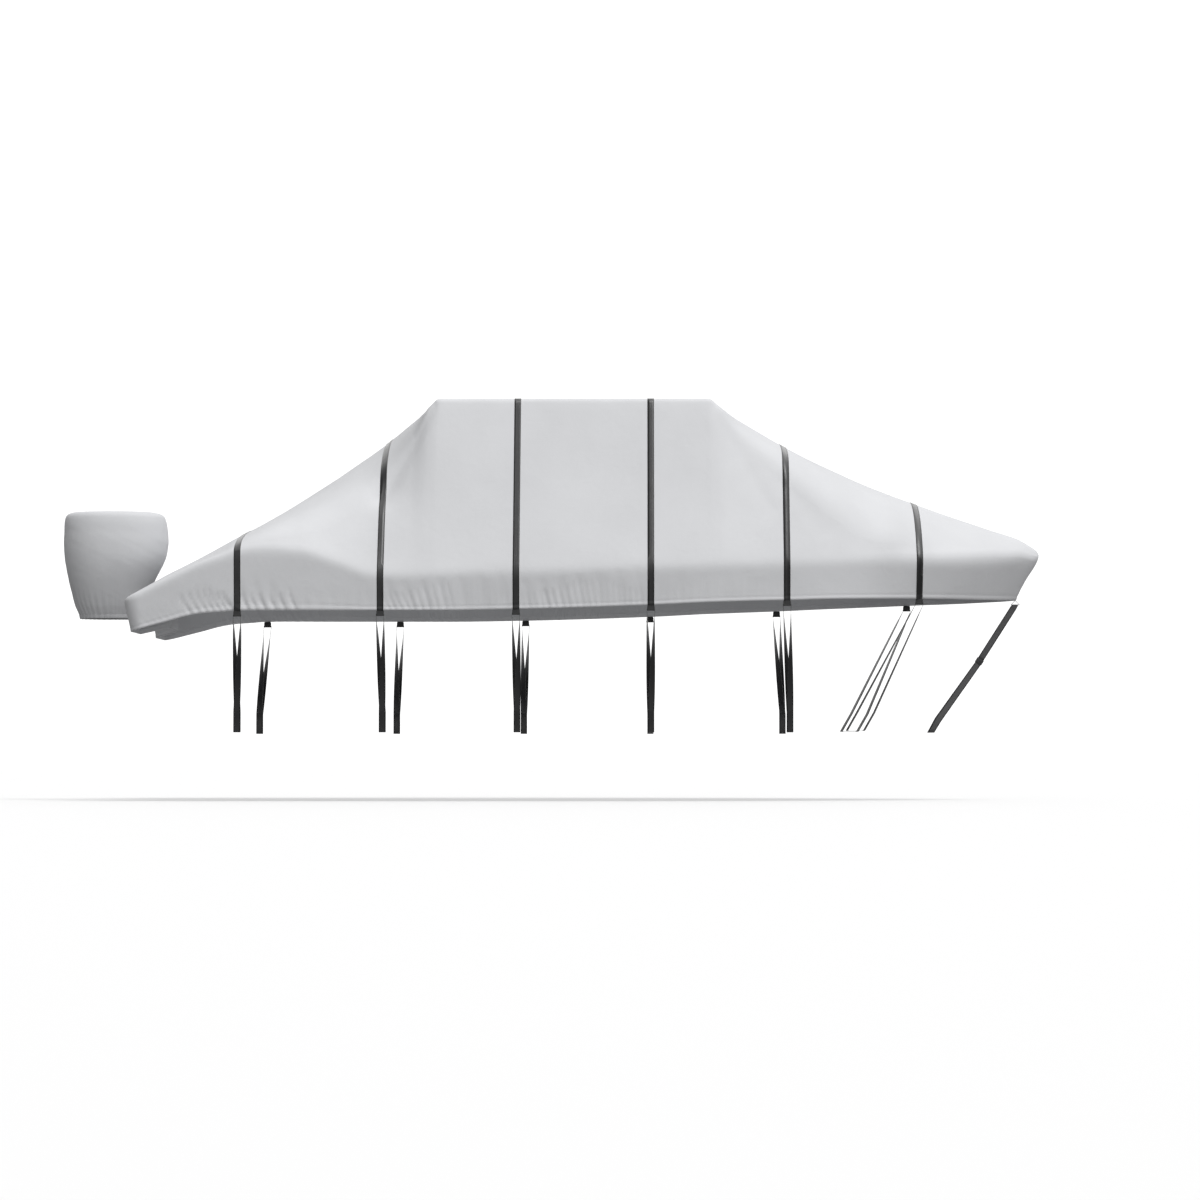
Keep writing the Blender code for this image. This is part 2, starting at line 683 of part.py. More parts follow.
def build_bow_buckle(down, parts, cutters, plastic):
    bm = bmesh.new()
    box(bm, BOW_BUCKLE_SIZE, (0.0, 0.0, -BOW_BUCKLE_SIZE.z / 2))
    upright = [e for e in bm.edges if abs(e.verts[0].co.z - e.verts[1].co.z) > BOW_BUCKLE_SIZE.z / 2]
    bmesh.ops.bevel(bm, geom=upright, offset=0.003, segments=2, profile=0.5, affect="EDGES")
    block = add_object("bow_block", mesh_of(bm, "bow_block"), parts, plastic)
    upper = cutter("bow_pocket", (POCKET.x, POCKET.y, 2 * POCKET.z), (0.0, 0.0, 0.0), cutters)
    lower_size = (POCKET.x + BOW_POCKET_PLAY, 2 * WEBBING + BOW_POCKET_PLAY, 2 * POCKET.z)
    lower = cutter("bow_double_pocket", lower_size, (0.0, 0.0, -BOW_BUCKLE_SIZE.z), cutters)
    cut(block, [upper, lower])
    buckle = bpy.data.objects.new("bow_buckle", evaluated_mesh(block, "bow_buckle"))
    buckle.location = BOW_BUCKLE
    buckle.rotation_euler = (0.0, math.atan2(-down.x, -down.z), 0.0)
    parts.objects.link(buckle)


def build_bow_tie_down(parts, cutters, webbing, plastic, steel):
    bar = build_ring(parts, steel)
    down = (BOW_BUCKLE - bar).normalized()
    build_upper_bow_strap(bar, down, parts, webbing)
    build_lower_bow_strap(down, parts, webbing)
    build_bow_buckle(down, parts, cutters, plastic)


# ---------------------------------------------------------------- outboard hood
class HoodRing(NamedTuple):
    """A level of the hood: its drop below the roof and its reach aft, forward and to each side."""

    drop: float
    aft: float
    fore: float
    half: float


HOOD_RINGS = [
    HoodRing(0.724, -3.440, -2.990, 0.165),
    HoodRing(0.727, -3.492, -2.930, 0.208),
    HoodRing(0.742, -3.531, -2.876, 0.238),
    HoodRing(0.775, -3.548, -2.851, 0.254),
    HoodRing(0.860, -3.556, -2.834, 0.268),
    HoodRing(0.950, -3.558, -2.830, 0.273),
    HoodRing(1.060, -3.550, -2.853, 0.268),
    HoodRing(1.160, -3.532, -2.902, 0.250),
    HoodRing(1.265, -3.508, -2.950, 0.222),
    HoodRing(1.370, -3.478, -2.985, 0.192),
    HoodRing(1.466, -3.441, -3.010, 0.160),
]
HOOD_SIDES = 28
HOOD_SQUARENESS = 2.15


def hood_point(ring, angle):
    """A point of the ring's rounded rectangle."""
    across, along = math.sin(angle), math.cos(angle)
    power = 2.0 / HOOD_SQUARENESS
    centre = (ring.aft + ring.fore) / 2
    return Vector(
        (
            centre + math.copysign(abs(along) ** power, along) * (ring.fore - ring.aft) / 2,
            math.copysign(abs(across) ** power, across) * ring.half,
            -ring.drop,
        )
    )


def build_hood(parts, cloth):
    bm = bmesh.new()
    bmesh.ops.create_circle(bm, cap_ends=True, segments=HOOD_SIDES, radius=1.0)
    angles = {vert: math.atan2(vert.co.y, vert.co.x) for vert in bm.verts}
    border = list(bm.edges)
    for vert, angle in angles.items():
        vert.co = hood_point(HOOD_RINGS[0], angle)
    for ring in HOOD_RINGS[1:]:
        made = bmesh.ops.extrude_edge_only(bm, edges=border)["geom"]
        border = [item for item in made if isinstance(item, bmesh.types.BMEdge) and item.is_boundary]
        for vert in {v for edge in border for v in edge.verts}:
            above = next(v for v in linked(vert) if v in angles and (v.co - vert.co).length < 1e-7)
            angles[vert] = angles[above]
        for vert in {v for edge in border for v in edge.verts}:
            vert.co = hood_point(ring, angles[vert])
    bmesh.ops.recalc_face_normals(bm, faces=bm.faces)
    hood = add_object("outboard_hood", mesh_of(bm, "outboard_hood"), parts, cloth)
    hood.data.shade_smooth()
    solidify(hood, CLOTH, -1.0)


# ---------------------------------------------------------------- assembly
def build():
    clear_scene()
    parts = collection("boat_cover_set")
    cutters = collection("cutters")
    cloth = material("cover_cloth", (0.66, 0.67, 0.69), 0.75)
    webbing = material("webbing", (0.035, 0.035, 0.038), 0.65)
    plastic = material("buckle_plastic", (0.05, 0.05, 0.055), 0.45)
    steel = material("ring_steel", (0.55, 0.55, 0.57), 0.30, 1.0)

    sheet = outer_sheet()
    build_cover(sheet, parts, cloth)
    buckle = buckle_mesh(parts, cutters, plastic)
    for number, (x, loop_end) in enumerate(zip(STRAP_X, LOOP_ENDS), start=1):
        ends = build_overhead_strap(number, x, sheet, parts, webbing)
        for side, hand, end in zip((-1.0, 1.0), ("starboard", "port"), ends):
            floor = build_buckle(f"hem_buckle_{hand}_{number}", end, buckle, parts)
            build_loop(f"tie_loop_{hand}_{number}", floor, side, loop_end, parts, webbing)
    sheet.free()
    build_bow_tie_down(parts, cutters, webbing, plastic, steel)
    build_hood(parts, cloth)


build()
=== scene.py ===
"""A fitted cloth cover set for a centre-console boat with a T-top, dressed for a studio view.

Metres, +Z up, bow to +X, starboard to -Y.  The origin is on the inner face of the cover's roof.
"""

import functools
import math

import bmesh
import bpy
import numpy as np
from mathutils import Matrix, Vector, noise
from mathutils.kdtree import KDTree


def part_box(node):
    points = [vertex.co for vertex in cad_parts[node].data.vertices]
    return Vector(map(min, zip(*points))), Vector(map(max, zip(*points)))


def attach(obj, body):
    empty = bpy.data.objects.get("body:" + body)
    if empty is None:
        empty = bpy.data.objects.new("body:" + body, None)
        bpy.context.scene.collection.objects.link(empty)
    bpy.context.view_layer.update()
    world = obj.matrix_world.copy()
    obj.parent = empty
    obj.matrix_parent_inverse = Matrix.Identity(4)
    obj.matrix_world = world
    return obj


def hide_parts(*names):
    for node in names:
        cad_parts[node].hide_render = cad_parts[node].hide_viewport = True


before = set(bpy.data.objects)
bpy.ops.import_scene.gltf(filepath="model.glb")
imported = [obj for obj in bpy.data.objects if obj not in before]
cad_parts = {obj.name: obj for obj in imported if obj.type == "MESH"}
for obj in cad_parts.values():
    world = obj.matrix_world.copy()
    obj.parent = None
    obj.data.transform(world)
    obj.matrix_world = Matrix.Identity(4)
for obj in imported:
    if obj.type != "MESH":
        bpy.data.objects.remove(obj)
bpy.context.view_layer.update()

# ---------------------------------------------------------------- studio
# A long lens far off the starboard side, 0.3 m above the ground, looks slightly up at the cover.
# A white sky with a dim underside and one high soft light from the bow side light it.
CAMERA_PLACE = Vector((0.449, -29.22, -2.445))
CAMERA_AIM = Vector((0.183, -1.22, -1.381))
AIM_DISTANCE = 28.0
VIEW_WIDTH = 7.98  # what the frame takes in at the aim distance
SENSOR_WIDTH = 36.0
CLIP_DISTANCE = 200.0
GROUND_DROP = 2.724
FLOOR_SIZE = 80.0
KEY_WAY = Vector((0.30, -0.40, 0.93))  # towards the light
KEY_STRENGTH = 2.31
KEY_SPREAD = 28.0  # degrees
SKY_STRENGTH = 1.19
# the sky's level by how steeply a way rises, and by how far it points to the stern or the bow
RISES = (-1.0, -0.6, -0.4, -0.06, 0.0, 0.15, 1.0)
RISE_LEVELS = (0.56, 0.56, 0.29, 0.29, 1.0, 1.0, 0.60)
SIDES = (-1.0, -0.15, 0.15, 1.0)
SIDE_LEVELS = (0.10, 1.0, 1.0, 0.36)

scene = bpy.context.scene
scene.view_settings.view_transform = "Standard"
camera_data = bpy.data.cameras.new("camera")
camera_data.sensor_width = SENSOR_WIDTH
camera_data.lens = SENSOR_WIDTH * AIM_DISTANCE / VIEW_WIDTH
camera_data.clip_end = CLIP_DISTANCE
camera = bpy.data.objects.new("camera", camera_data)
camera.location = CAMERA_PLACE
camera.rotation_euler = (CAMERA_AIM - CAMERA_PLACE).to_track_quat("-Z", "Y").to_euler()
scene.collection.objects.link(camera)
scene.camera = camera

key_data = bpy.data.lights.new("key", "SUN")
key_data.energy = KEY_STRENGTH
key_data.angle = math.radians(KEY_SPREAD)
key = bpy.data.objects.new("key", key_data)
key.rotation_euler = KEY_WAY.to_track_quat("Z", "Y").to_euler()
scene.collection.objects.link(key)


def put(tree, socket, value):
    """Links a node's first output or an output to the socket, or writes a value into it."""
    if isinstance(value, bpy.types.Node):
        value = value.outputs[0]
    if isinstance(value, bpy.types.NodeSocket):
        tree.links.new(value, socket)
    else:
        socket.default_value = value


def fill(tree, shader_node, **values):
    """Sets the node's properties by name, and its sockets by name with _ for a space."""
    for name, value in values.items():
        if hasattr(shader_node, name):
            setattr(shader_node, name, value)
        else:
            put(tree, shader_node.inputs[name.replace("_", " ")], value)


def node(tree, kind, *inputs, **values):
    """A new node with these values, as fill takes them; its first sockets take the inputs."""
    made = tree.nodes.new(f"ShaderNode{kind}")
    fill(tree, made, **values)
    for socket, value in zip(made.inputs, inputs):
        put(tree, socket, value)
    return made


def maths(tree, operation, *inputs):
    return node(tree, "Math", *inputs, operation=operation)


def ramp(tree, source, positions, colours):
    """A colour ramp; a colour that is one number is a grey."""
    made = node(tree, "ValToRGB", source)
    stops = made.color_ramp.elements
    while len(stops) < len(positions):
        stops.new(0.5)
    for stop, position, colour in zip(stops, positions, colours):
        stop.position = position
        stop.color = (*colour, 1.0) if isinstance(colour, tuple) else (colour, colour, colour, 1.0)
    return made


def toned(colour, factor):
    return tuple(factor * part for part in colour)


def new_finish(name, **values):
    """A new material, its node tree and its shader with these values."""
    finish = bpy.data.materials.new(name)
    finish.use_nodes = True
    shader = finish.node_tree.nodes["Principled BSDF"]
    fill(finish.node_tree, shader, **values)
    return finish, finish.node_tree, shader


def object_place(tree):
    return node(tree, "TexCoord").outputs["Object"]


def grained(name, kind, texture, colours, relief, **values):
    """A finish with these values, whose colour and fine relief follow one texture."""
    finish, tree, shader = new_finish(name, **values)
    grain = node(tree, kind, object_place(tree), **texture)
    bump = node(tree, "Bump", Strength=relief, Distance=0.0002, Height=grain)
    fill(tree, shader, Base_Color=ramp(tree, grain, (0.0, 1.0), colours), Normal=bump)
    return finish


def add_object(name, data):
    obj = bpy.data.objects.new(name, data)
    scene.collection.objects.link(obj)
    return obj


def add_piece(bm, name, finish):
    """Makes the bmesh a smooth object."""
    mesh = bpy.data.meshes.new(name)
    bm.to_mesh(mesh)
    bm.free()
    mesh.materials.append(finish)
    mesh.shade_smooth()
    return add_object(name, mesh)


def dress(piece, solid=None):
    """Puts a piece on the one body, and in place of a solid."""
    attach(piece, "root")
    if solid:
        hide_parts(solid)


def studio_sky():
    """White at the horizon, greyer overhead, dim below, and dimmer towards bow and stern."""
    world = bpy.data.worlds.new("studio")
    world.use_nodes = True
    scene.world = world
    tree = world.node_tree
    way = node(tree, "SeparateXYZ", node(tree, "TexCoord").outputs["Generated"])
    levels = []
    for axis, places, greys in (("Z", RISES, RISE_LEVELS), ("X", SIDES, SIDE_LEVELS)):
        share = node(tree, "MapRange", way.outputs[axis], From_Min=-1.0, From_Max=1.0)
        levels.append(ramp(tree, share, [(place + 1.0) / 2.0 for place in places], greys))
    strength = maths(tree, "MULTIPLY", maths(tree, "MULTIPLY", *levels), SKY_STRENGTH)
    fill(tree, tree.nodes["Background"], Color=(1.0, 1.0, 1.0, 1.0), Strength=strength)


def studio_floor():
    bm = bmesh.new()
    bmesh.ops.create_grid(bm, x_segments=2, y_segments=2, size=FLOOR_SIZE)
    bmesh.ops.translate(bm, vec=(0.0, 0.0, -GROUND_DROP), verts=bm.verts)
    grey, white = (0.42, 0.42, 0.42, 1.0), (1.0, 1.0, 1.0, 1.0)
    glow = {"Emission_Color": white, "Emission_Strength": 0.42}
    paint, _, _ = new_finish("floor_paint", Base_Color=grey, Roughness=0.9, **glow)
    floor = add_piece(bm, "studio_floor", paint)
    floor.visible_diffuse = False
    floor.visible_glossy = False


studio_sky()
studio_floor()

# ---------------------------------------------------------------- cover: the form
# One cover of coated polyester, cut in panels and sewn to the boat's shape: flat over the T-top,
# sloping to bow and stern, creased at the gunwale, with a band below that is drawn in at its hem.
CLOTH = 0.0016
CAD_CLOTH = 0.002
ROOF_HALF_LENGTH = 0.915
STERN_X = -3.012
BOW_X = 3.217
MAX_HALF_BEAM = 1.220
STERN_HALF_BEAM = 1.130
STERN_TAPER_START = -0.450
STERN_CORNER = 0.100
BOW_TAPER_START = 0.440
STEM_RAKE = 0.165
STERN_LEAN = 0.046
STERN_LEAN_REACH = 0.400
BOW_RAKE_START = 1.650
NOTCH_HALF_WIDTH = 0.370
NOTCH_DEPTH = 0.210
NOTCH_SOFTNESS = 0.100
NOTCH_REACH = 0.600
HEM_TUCK = 0.020
BOW_TUCK = 0.230
SHOULDER_RADIUS = 0.036
SOFT_SHOULDER_RADIUS = 0.160
SHOULDER_EASE = 0.500  # past the roof's end, the length over which the one grows to the other

# x, ridge drop, shoulder's half width, shoulder drop, crease drop and hem drop of each section;
# the drops are from the roof's top
STATION_COLUMNS = ("x", "ridge", "shoulder_half", "shoulder", "crease", "hem")
STATIONS = [
    (-3.012, 1.325, 0.850, 1.348, 1.375, 1.587),
    (-2.750, 1.155, 0.900, 1.207, 1.247, 1.527),
    (-2.480, 1.003, 0.980, 1.098, 1.120, 1.468),
    (-2.335, 0.923, 1.050, 1.030, 1.072, 1.457),
    (-2.275, 0.891, 1.085, 1.003, 1.054, 1.452),
    (-2.120, 0.805, 1.100, 0.942, 1.036, 1.449),
    (-1.830, 0.621, 1.040, 0.842, 1.050, 1.449),
    (-1.570, 0.446, 0.950, 0.712, 1.128, 1.449),
    (-1.320, 0.268, 0.870, 0.518, 1.210, 1.449),
    (-1.100, 0.094, 0.815, 0.240, 1.215, 1.449),
    (-0.980, 0.016, 0.798, 0.050, 1.210, 1.449),
    (-0.915, 0.000, 0.790, 0.000, 1.205, 1.449),
    (-0.350, 0.000, 0.790, 0.000, 1.190, 1.441),
    (0.530, 0.000, 0.790, 0.000, 1.162, 1.414),
    (0.915, 0.000, 0.790, 0.000, 1.147, 1.395),
    (0.975, 0.012, 0.790, 0.042, 1.145, 1.393),
    (1.125, 0.096, 0.805, 0.205, 1.140, 1.388),
    (1.460, 0.291, 0.850, 0.430, 1.130, 1.378),
    (1.730, 0.422, 0.870, 0.655, 1.118, 1.368),
    (2.070, 0.570, 0.830, 0.880, 1.100, 1.360),
    (2.310, 0.658, 0.660, 0.900, 1.088, 1.355),
    (2.550, 0.745, 0.450, 0.892, 1.073, 1.351),
    (2.820, 0.835, 0.300, 0.934, 1.055, 1.349),
    (3.080, 0.925, 0.130, 0.980, 1.040, 1.345),
    (3.217, 0.997, 0.001, 1.010, 1.035, 1.340),
]


def lerp(a, b, share):
    return a + (b - a) * share


def smoothstep(value):
    value = min(max(value, 0.0), 1.0)
    return value * value * (3.0 - 2.0 * value)


def hermite(a, b, rise_a, rise_b, share):
    """The cubic curve from a to b that leaves a and reaches b at these rises over its span."""
    square, cube = share**2, share**3
    return (
        (2 * cube - 3 * square + 1) * a
        + (cube - 2 * square + share) * rise_a
        + (3 * square - 2 * cube) * b
        + (cube - square) * rise_b
    )


@functools.lru_cache(maxsize=None)
def eased(column, x):
    """A column of STATIONS at x, on a curve that never overshoots its rows."""
    at = STATION_COLUMNS.index(column)
    xs = [row[0] for row in STATIONS]
    values = [row[at] for row in STATIONS]
    x = min(max(x, xs[0]), xs[-1])
    i = max(k for k in range(len(xs) - 1) if xs[k] <= x)
    rises = [(values[k + 1] - values[k]) / (xs[k + 1] - xs[k]) for k in range(len(xs) - 1)]

    def slope(k):
        if k in (0, len(xs) - 1):
            return rises[min(k, len(rises) - 1)]
        before, after = rises[k - 1], rises[k]
        return 0.0 if before * after <= 0 else 2.0 * before * after / (before + after)

    span = xs[i + 1] - xs[i]
    share = (x - xs[i]) / span
    return hermite(values[i], values[i + 1], span * slope(i), span * slope(i + 1), share)


def height(column, x):
    return CAD_CLOTH - eased(column, x)


def half_beam(x):
    """Half width in plan at the gunwale crease."""
    aft = max(0.0, (STERN_TAPER_START - x) / (STERN_TAPER_START - STERN_X))
    half = lerp(MAX_HALF_BEAM, STERN_HALF_BEAM, aft**2)
    forward = max(0.0, (x - BOW_TAPER_START) / (BOW_X - BOW_TAPER_START))
    half *= max(0.0, 1.0 - forward**2.2) ** 0.8
    into_corner = STERN_CORNER - (x - STERN_X)
    if into_corner > 0:
        half -= STERN_CORNER - math.sqrt(max(0.0, STERN_CORNER**2 - into_corner**2))
    return half


CROWN_STEPS = 6  # columns of the grid from the centre to the shoulder's rounding
SHOULDER_STEPS = 5  # through the rounding
SIDE_STEPS = 25  # and down the side to the crease, with the last few close above it
ABOVE_CREASE = (0.085, 0.052, 0.028, 0.012, 0.0)
CLOSE_SIDE = 0.30  # a side shorter than this has them closer still
HALF_COLUMNS = CROWN_STEPS + SHOULDER_STEPS + SIDE_STEPS
# the band's rows, as shares of the way to the hem
BAND_SHARES = (0.04, 0.09, 0.15, 0.22, 0.30, 0.39, 0.48, 0.57)
BAND_SHARES += (0.66, 0.75, 0.82, 0.87, 0.90, 0.92, 0.96, 1.0)
# how far the cloth stands out at a share: sunk at the stitching, turned up over a cord below it
HEM_PROFILE = {0.87: 0.0004, 0.90: -0.0010, 0.92: 0.0012, 0.96: 0.0014, 1.0: 0.0024}
STITCH_SHARE = 0.90


def rounded(a, corner, b, share):
    """A point of the soft corner from a to b."""
    return (a * (1.0 - share) ** 2) + corner * (2.0 * share * (1.0 - share)) + b * share**2


def corner_points(a, corner, b, radius, steps):
    """The rounding of a corner that is passed on the way from a to b."""
    back = corner + (a - corner).normalized() * radius
    on = corner + (b - corner).normalized() * radius
    return [rounded(back, corner, on, k / steps) for k in range(steps + 1)]


@functools.lru_cache(maxsize=None)
def section(x):
    """Half of the cross-section at x, as (y, z) points from the centre to the crease."""
    centre = Vector((0.0, height("ridge", x)))
    crease = Vector((half_beam(x), height("crease", x)))
    shoulder = Vector((min(eased("shoulder_half", x), 0.93 * crease.x), height("shoulder", x)))
    past_roof = min(1.0, max(0.0, abs(x) - ROOF_HALF_LENGTH) / SHOULDER_EASE)
    radius = lerp(SHOULDER_RADIUS, SOFT_SHOULDER_RADIUS, past_roof)
    start = max(0.75, 1.0 - radius / max(shoulder.x, 1e-6))

    def crown(share):
        return Vector((shoulder.x * share, lerp(centre.y, shoulder.y, share**2)))

    side = crease - shoulder
    after = shoulder + side.normalized() * min(radius, 0.45 * side.length)
    points = [crown(start * k / CROWN_STEPS) for k in range(CROWN_STEPS)]
    shares = [k / SHOULDER_STEPS for k in range(SHOULDER_STEPS)]
    points += [rounded(crown(start), shoulder, after, share) for share in shares]
    length = (crease - after).length
    spacing = min(1.0, length / CLOSE_SIDE)
    near = [1.0 - above * spacing / max(length, 1e-6) for above in ABOVE_CREASE]
    even = SIDE_STEPS + 1 - len(near)
    shares = [near[0] * k / even for k in range(even)] + near
    return points + [after.lerp(crease, share) for share in shares]


def notch_shift(x, y):
    """How far forward the outboard's cut-out pushes the cloth at this place."""
    across = smoothstep((NOTCH_HALF_WIDTH + NOTCH_SOFTNESS / 2 - abs(y)) / NOTCH_SOFTNESS)
    return NOTCH_DEPTH * across * max(0.0, 1.0 - (x - STERN_X) / NOTCH_REACH)


def surface_point(x, column):
    """A point of the top, from column 0 on the centre line to +-HALF_COLUMNS on the crease."""
    side = 1.0 if column > 0 else -1.0
    y = section(x)[abs(column)].x
    x += notch_shift(x, y)
    return Vector((x, side * min(y, half_beam(x)), section(round(x, 5))[abs(column)].y))


def hem_point(corner):
    """The hem below a point of the crease."""
    bow = max(0.0, (corner.x - BOW_RAKE_START) / (BOW_X - BOW_RAKE_START))
    stern = max(0.0, 1.0 - (corner.x - STERN_X) / STERN_LEAN_REACH)
    tuck = HEM_TUCK + BOW_TUCK * bow**1.5
    x = corner.x - STEM_RAKE * bow**2 + STERN_LEAN * stern
    return Vector((x, corner.y * (1.0 - tuck), height("hem", corner.x)))


def row_places():
    """Where the grid's rows stand along x: closest at the ends, roof corners and puckers."""
    runs = [  # start, end, spacing
        (STERN_X, -2.90, 0.011),
        (-2.90, -2.60, 0.014),
        (-2.60, -1.80, 0.0085),
        (-1.80, -1.26, 0.020),
        (-1.26, -0.80, 0.0086),
        (-0.80, -0.35, 0.0135),
        (-0.35, 0.50, 0.0098),
        (0.50, 1.40, 0.016),
        (1.40, 2.90, 0.031),
        (2.90, BOW_X, 0.014),
    ]
    places = [STERN_X]
    for start, end, spacing in runs:
        count = math.ceil((end - start) / spacing)
        places += [round(lerp(start, end, (k + 1) / count), 5) for k in range(count)]
    return places


def linked(vert):
    return [edge.other_vert(vert) for edge in vert.link_edges]


# x and drop of a soft trough's head, the same of its foot, its width at each, and its depth at each
FOLDS = [
    (-0.940, 0.040, -1.300, 0.650, 0.022, 0.075, 0.008, 0.030),
    (-0.960, 0.050, -1.270, 0.560, 0.050, 0.190, 0.004, 0.028),
    (0.950, 0.060, 1.330, 0.760, 0.040, 0.060, 0.004, 0.004),
    (0.950, 0.060, 1.700, 0.900, 0.040, 0.065, 0.003, 0.004),
    (0.980, 0.100, 1.010, 1.050, 0.040, 0.070, -0.006, -0.004),
]
# where the hem's cord puckers the cloth: from x to x, how many, depth, width, height and lean
PUCKERS = [
    (-2.860, -2.600, 7, 0.0022, 0.0080, 0.100, 0.100),
    (-2.610, -2.270, 7, 0.0075, 0.0125, 0.125, 0.095),
    (-2.210, -1.820, 6, 0.0052, 0.0125, 0.130, 0.055),
    (-1.820, -1.340, 6, 0.0028, 0.0120, 0.110, 0.020),
    (-1.250, -1.080, 4, 0.0024, 0.0095, 0.150, 0.060),
    (-1.080, -0.800, 6, 0.0032, 0.0105, 0.160, 0.045),
    (-0.800, -0.410, 9, 0.0014, 0.0110, 0.150, 0.008),
    (-0.345, -0.180, 4, 0.0016, 0.0100, 0.150, 0.025),
    (-0.180, 0.150, 8, 0.0040, 0.0105, 0.150, 0.035),
    (0.150, 0.490, 8, 0.0018, 0.0110, 0.150, 0.012),
    (0.560, 0.900, 7, 0.0012, 0.0120, 0.150, 0.000),
    (0.900, 1.400, 9, 0.0009, 0.0120, 0.140, 0.000),
]
# soft broad gathers above them
GATHERS = [
    (-2.250, -1.900, 3, 0.0030, 0.030, 0.200, 0.060),
    (-1.240, -0.420, 7, 0.0022, 0.032, 0.230, 0.045),
    (-0.330, 0.480, 7, 0.0024, 0.032, 0.230, 0.030),
    (0.560, 1.380, 6, 0.0012, 0.034, 0.220, 0.000),
]


def puckers(zones):
    """The zones' puckers one by one, unevenly spaced and deep, as rows of FOLDS."""
    made = []
    for start, end, count, depth, width, rise, lean in zones:
        pitch = (end - start) / count
        for k in range(count):
            uneven = math.sin(12.9898 * (k + 1) + 7.1 * start)
            head = start + pitch * (k + 0.5 + 0.28 * uneven)
            foot_drop = eased("hem", head) + 0.02
            head_drop = foot_drop - rise * (1.0 + 0.2 * uneven)
            deep = depth * (1.0 - 0.35 * uneven)
            trough = (head - lean / 2, head_drop, head + lean / 2, foot_drop)
            made.append((*trough, width, width, deep, deep))
    return made


def fold_depths(places, folds):
    """How far each place is moved inwards by the folds that run near it, seen from the side."""
    seen = places[:, (0, 2)]
    moved = np.zeros(len(places))
    for x_top, drop_top, x_end, drop_end, *widths_and_depths in folds:
        top = np.array((x_top, -drop_top))
        run = np.array((x_end, -drop_end)) - top
        along = np.clip((seen - top) @ run / (run @ run), 0.0, 1.0)
        away = np.linalg.norm(seen - top - along[:, None] * run, axis=1)
        width, wide_end, depth, deep_end = widths_and_depths
        spread = lerp(width, wide_end, along)
        moved += lerp(depth, deep_end, along) * np.exp(-((away / spread) ** 2))
    return moved


def extruded(bm, border):
    """Extrudes the open edges; returns the new vertices, and the new edges that are open."""
    made = bmesh.ops.extrude_edge_only(bm, edges=border)["geom"]
    fresh = [item for item in made if isinstance(item, bmesh.types.BMVert)]
    edges = [item for item in made if isinstance(item, bmesh.types.BMEdge)]
    return fresh, [edge for edge in edges if edge.is_boundary]


def origin_of(vert, known):
    """The known vertex that this one was just extruded from."""
    return next(v for v in linked(vert) if v in known and (v.co - vert.co).length < 1e-7)


def drop_band(bm, cut, share_of):
    """Hangs the band from the crease down to the hem, row by row."""
    border = [edge for edge in bm.edges if edge.is_boundary]
    corner_of = {vert: vert.co.copy() for edge in border for vert in edge.verts}
    for last, share in zip((0.0, *BAND_SHARES), BAND_SHARES):
        fresh, border = extruded(bm, border)
        for vert in fresh:
            corner_of[vert] = corner_of[origin_of(vert, corner_of)]
        for vert in fresh:
            corner = corner_of[vert]
            hem = hem_point(corner)
            vert.co = corner.lerp(hem, share)
            drop = (hem - corner).length
            side = math.copysign(1.0, vert[cut].y)
            vert[cut] = (vert[cut].x, vert[cut].y + side * drop * (share - last), drop * share)
            vert[share_of] = share


STERN_CREASE_RADIUS = 0.012  # how far the rounding reaches to each side of the crease, at the stern
CREASE_RADIUS = 0.034
BOW_CREASE_RADIUS = 0.085
NOSE_RADIUS = 0.045  # at the very tip
STERN_EASE = (-2.55, 0.4)  # where each radius starts to change to the next, and over what length
BOW_EASE = (1.70, 1.2)
CREASE_ROUNDS = 2
RELAXED_HALF = 0.08  # how far from the crease the cloth is relaxed
NOSE_ROUNDS = 24
NOSE_REACH = (0.20, 0.06)  # behind the tip, in the first round and the last
NOSE_SHARE = (0.95, 0.30)  # of the band, in the same
NOSE_SAG = 0.018  # of the tip, and of the cloth behind it
NOSE_DROP = 0.019
NOSE_PUSH_START = 2.85
NOSE_DROP_START = 3.05


def relax(bm, verts):
    axes = {"use_axis_x": True, "use_axis_y": True, "use_axis_z": True}
    bmesh.ops.smooth_vert(bm, verts=verts, factor=0.5, **axes)


def face_outwards(bm):
    bmesh.ops.recalc_face_normals(bm, faces=bm.faces)
    if max(bm.faces, key=lambda face: face.calc_center_median().z).normal.z < 0:
        bmesh.ops.reverse_faces(bm, faces=bm.faces)


def past(x, start, length):
    """0 before the start, 1 past this length from it, on a soft step."""
    return smoothstep((x - start) / length)


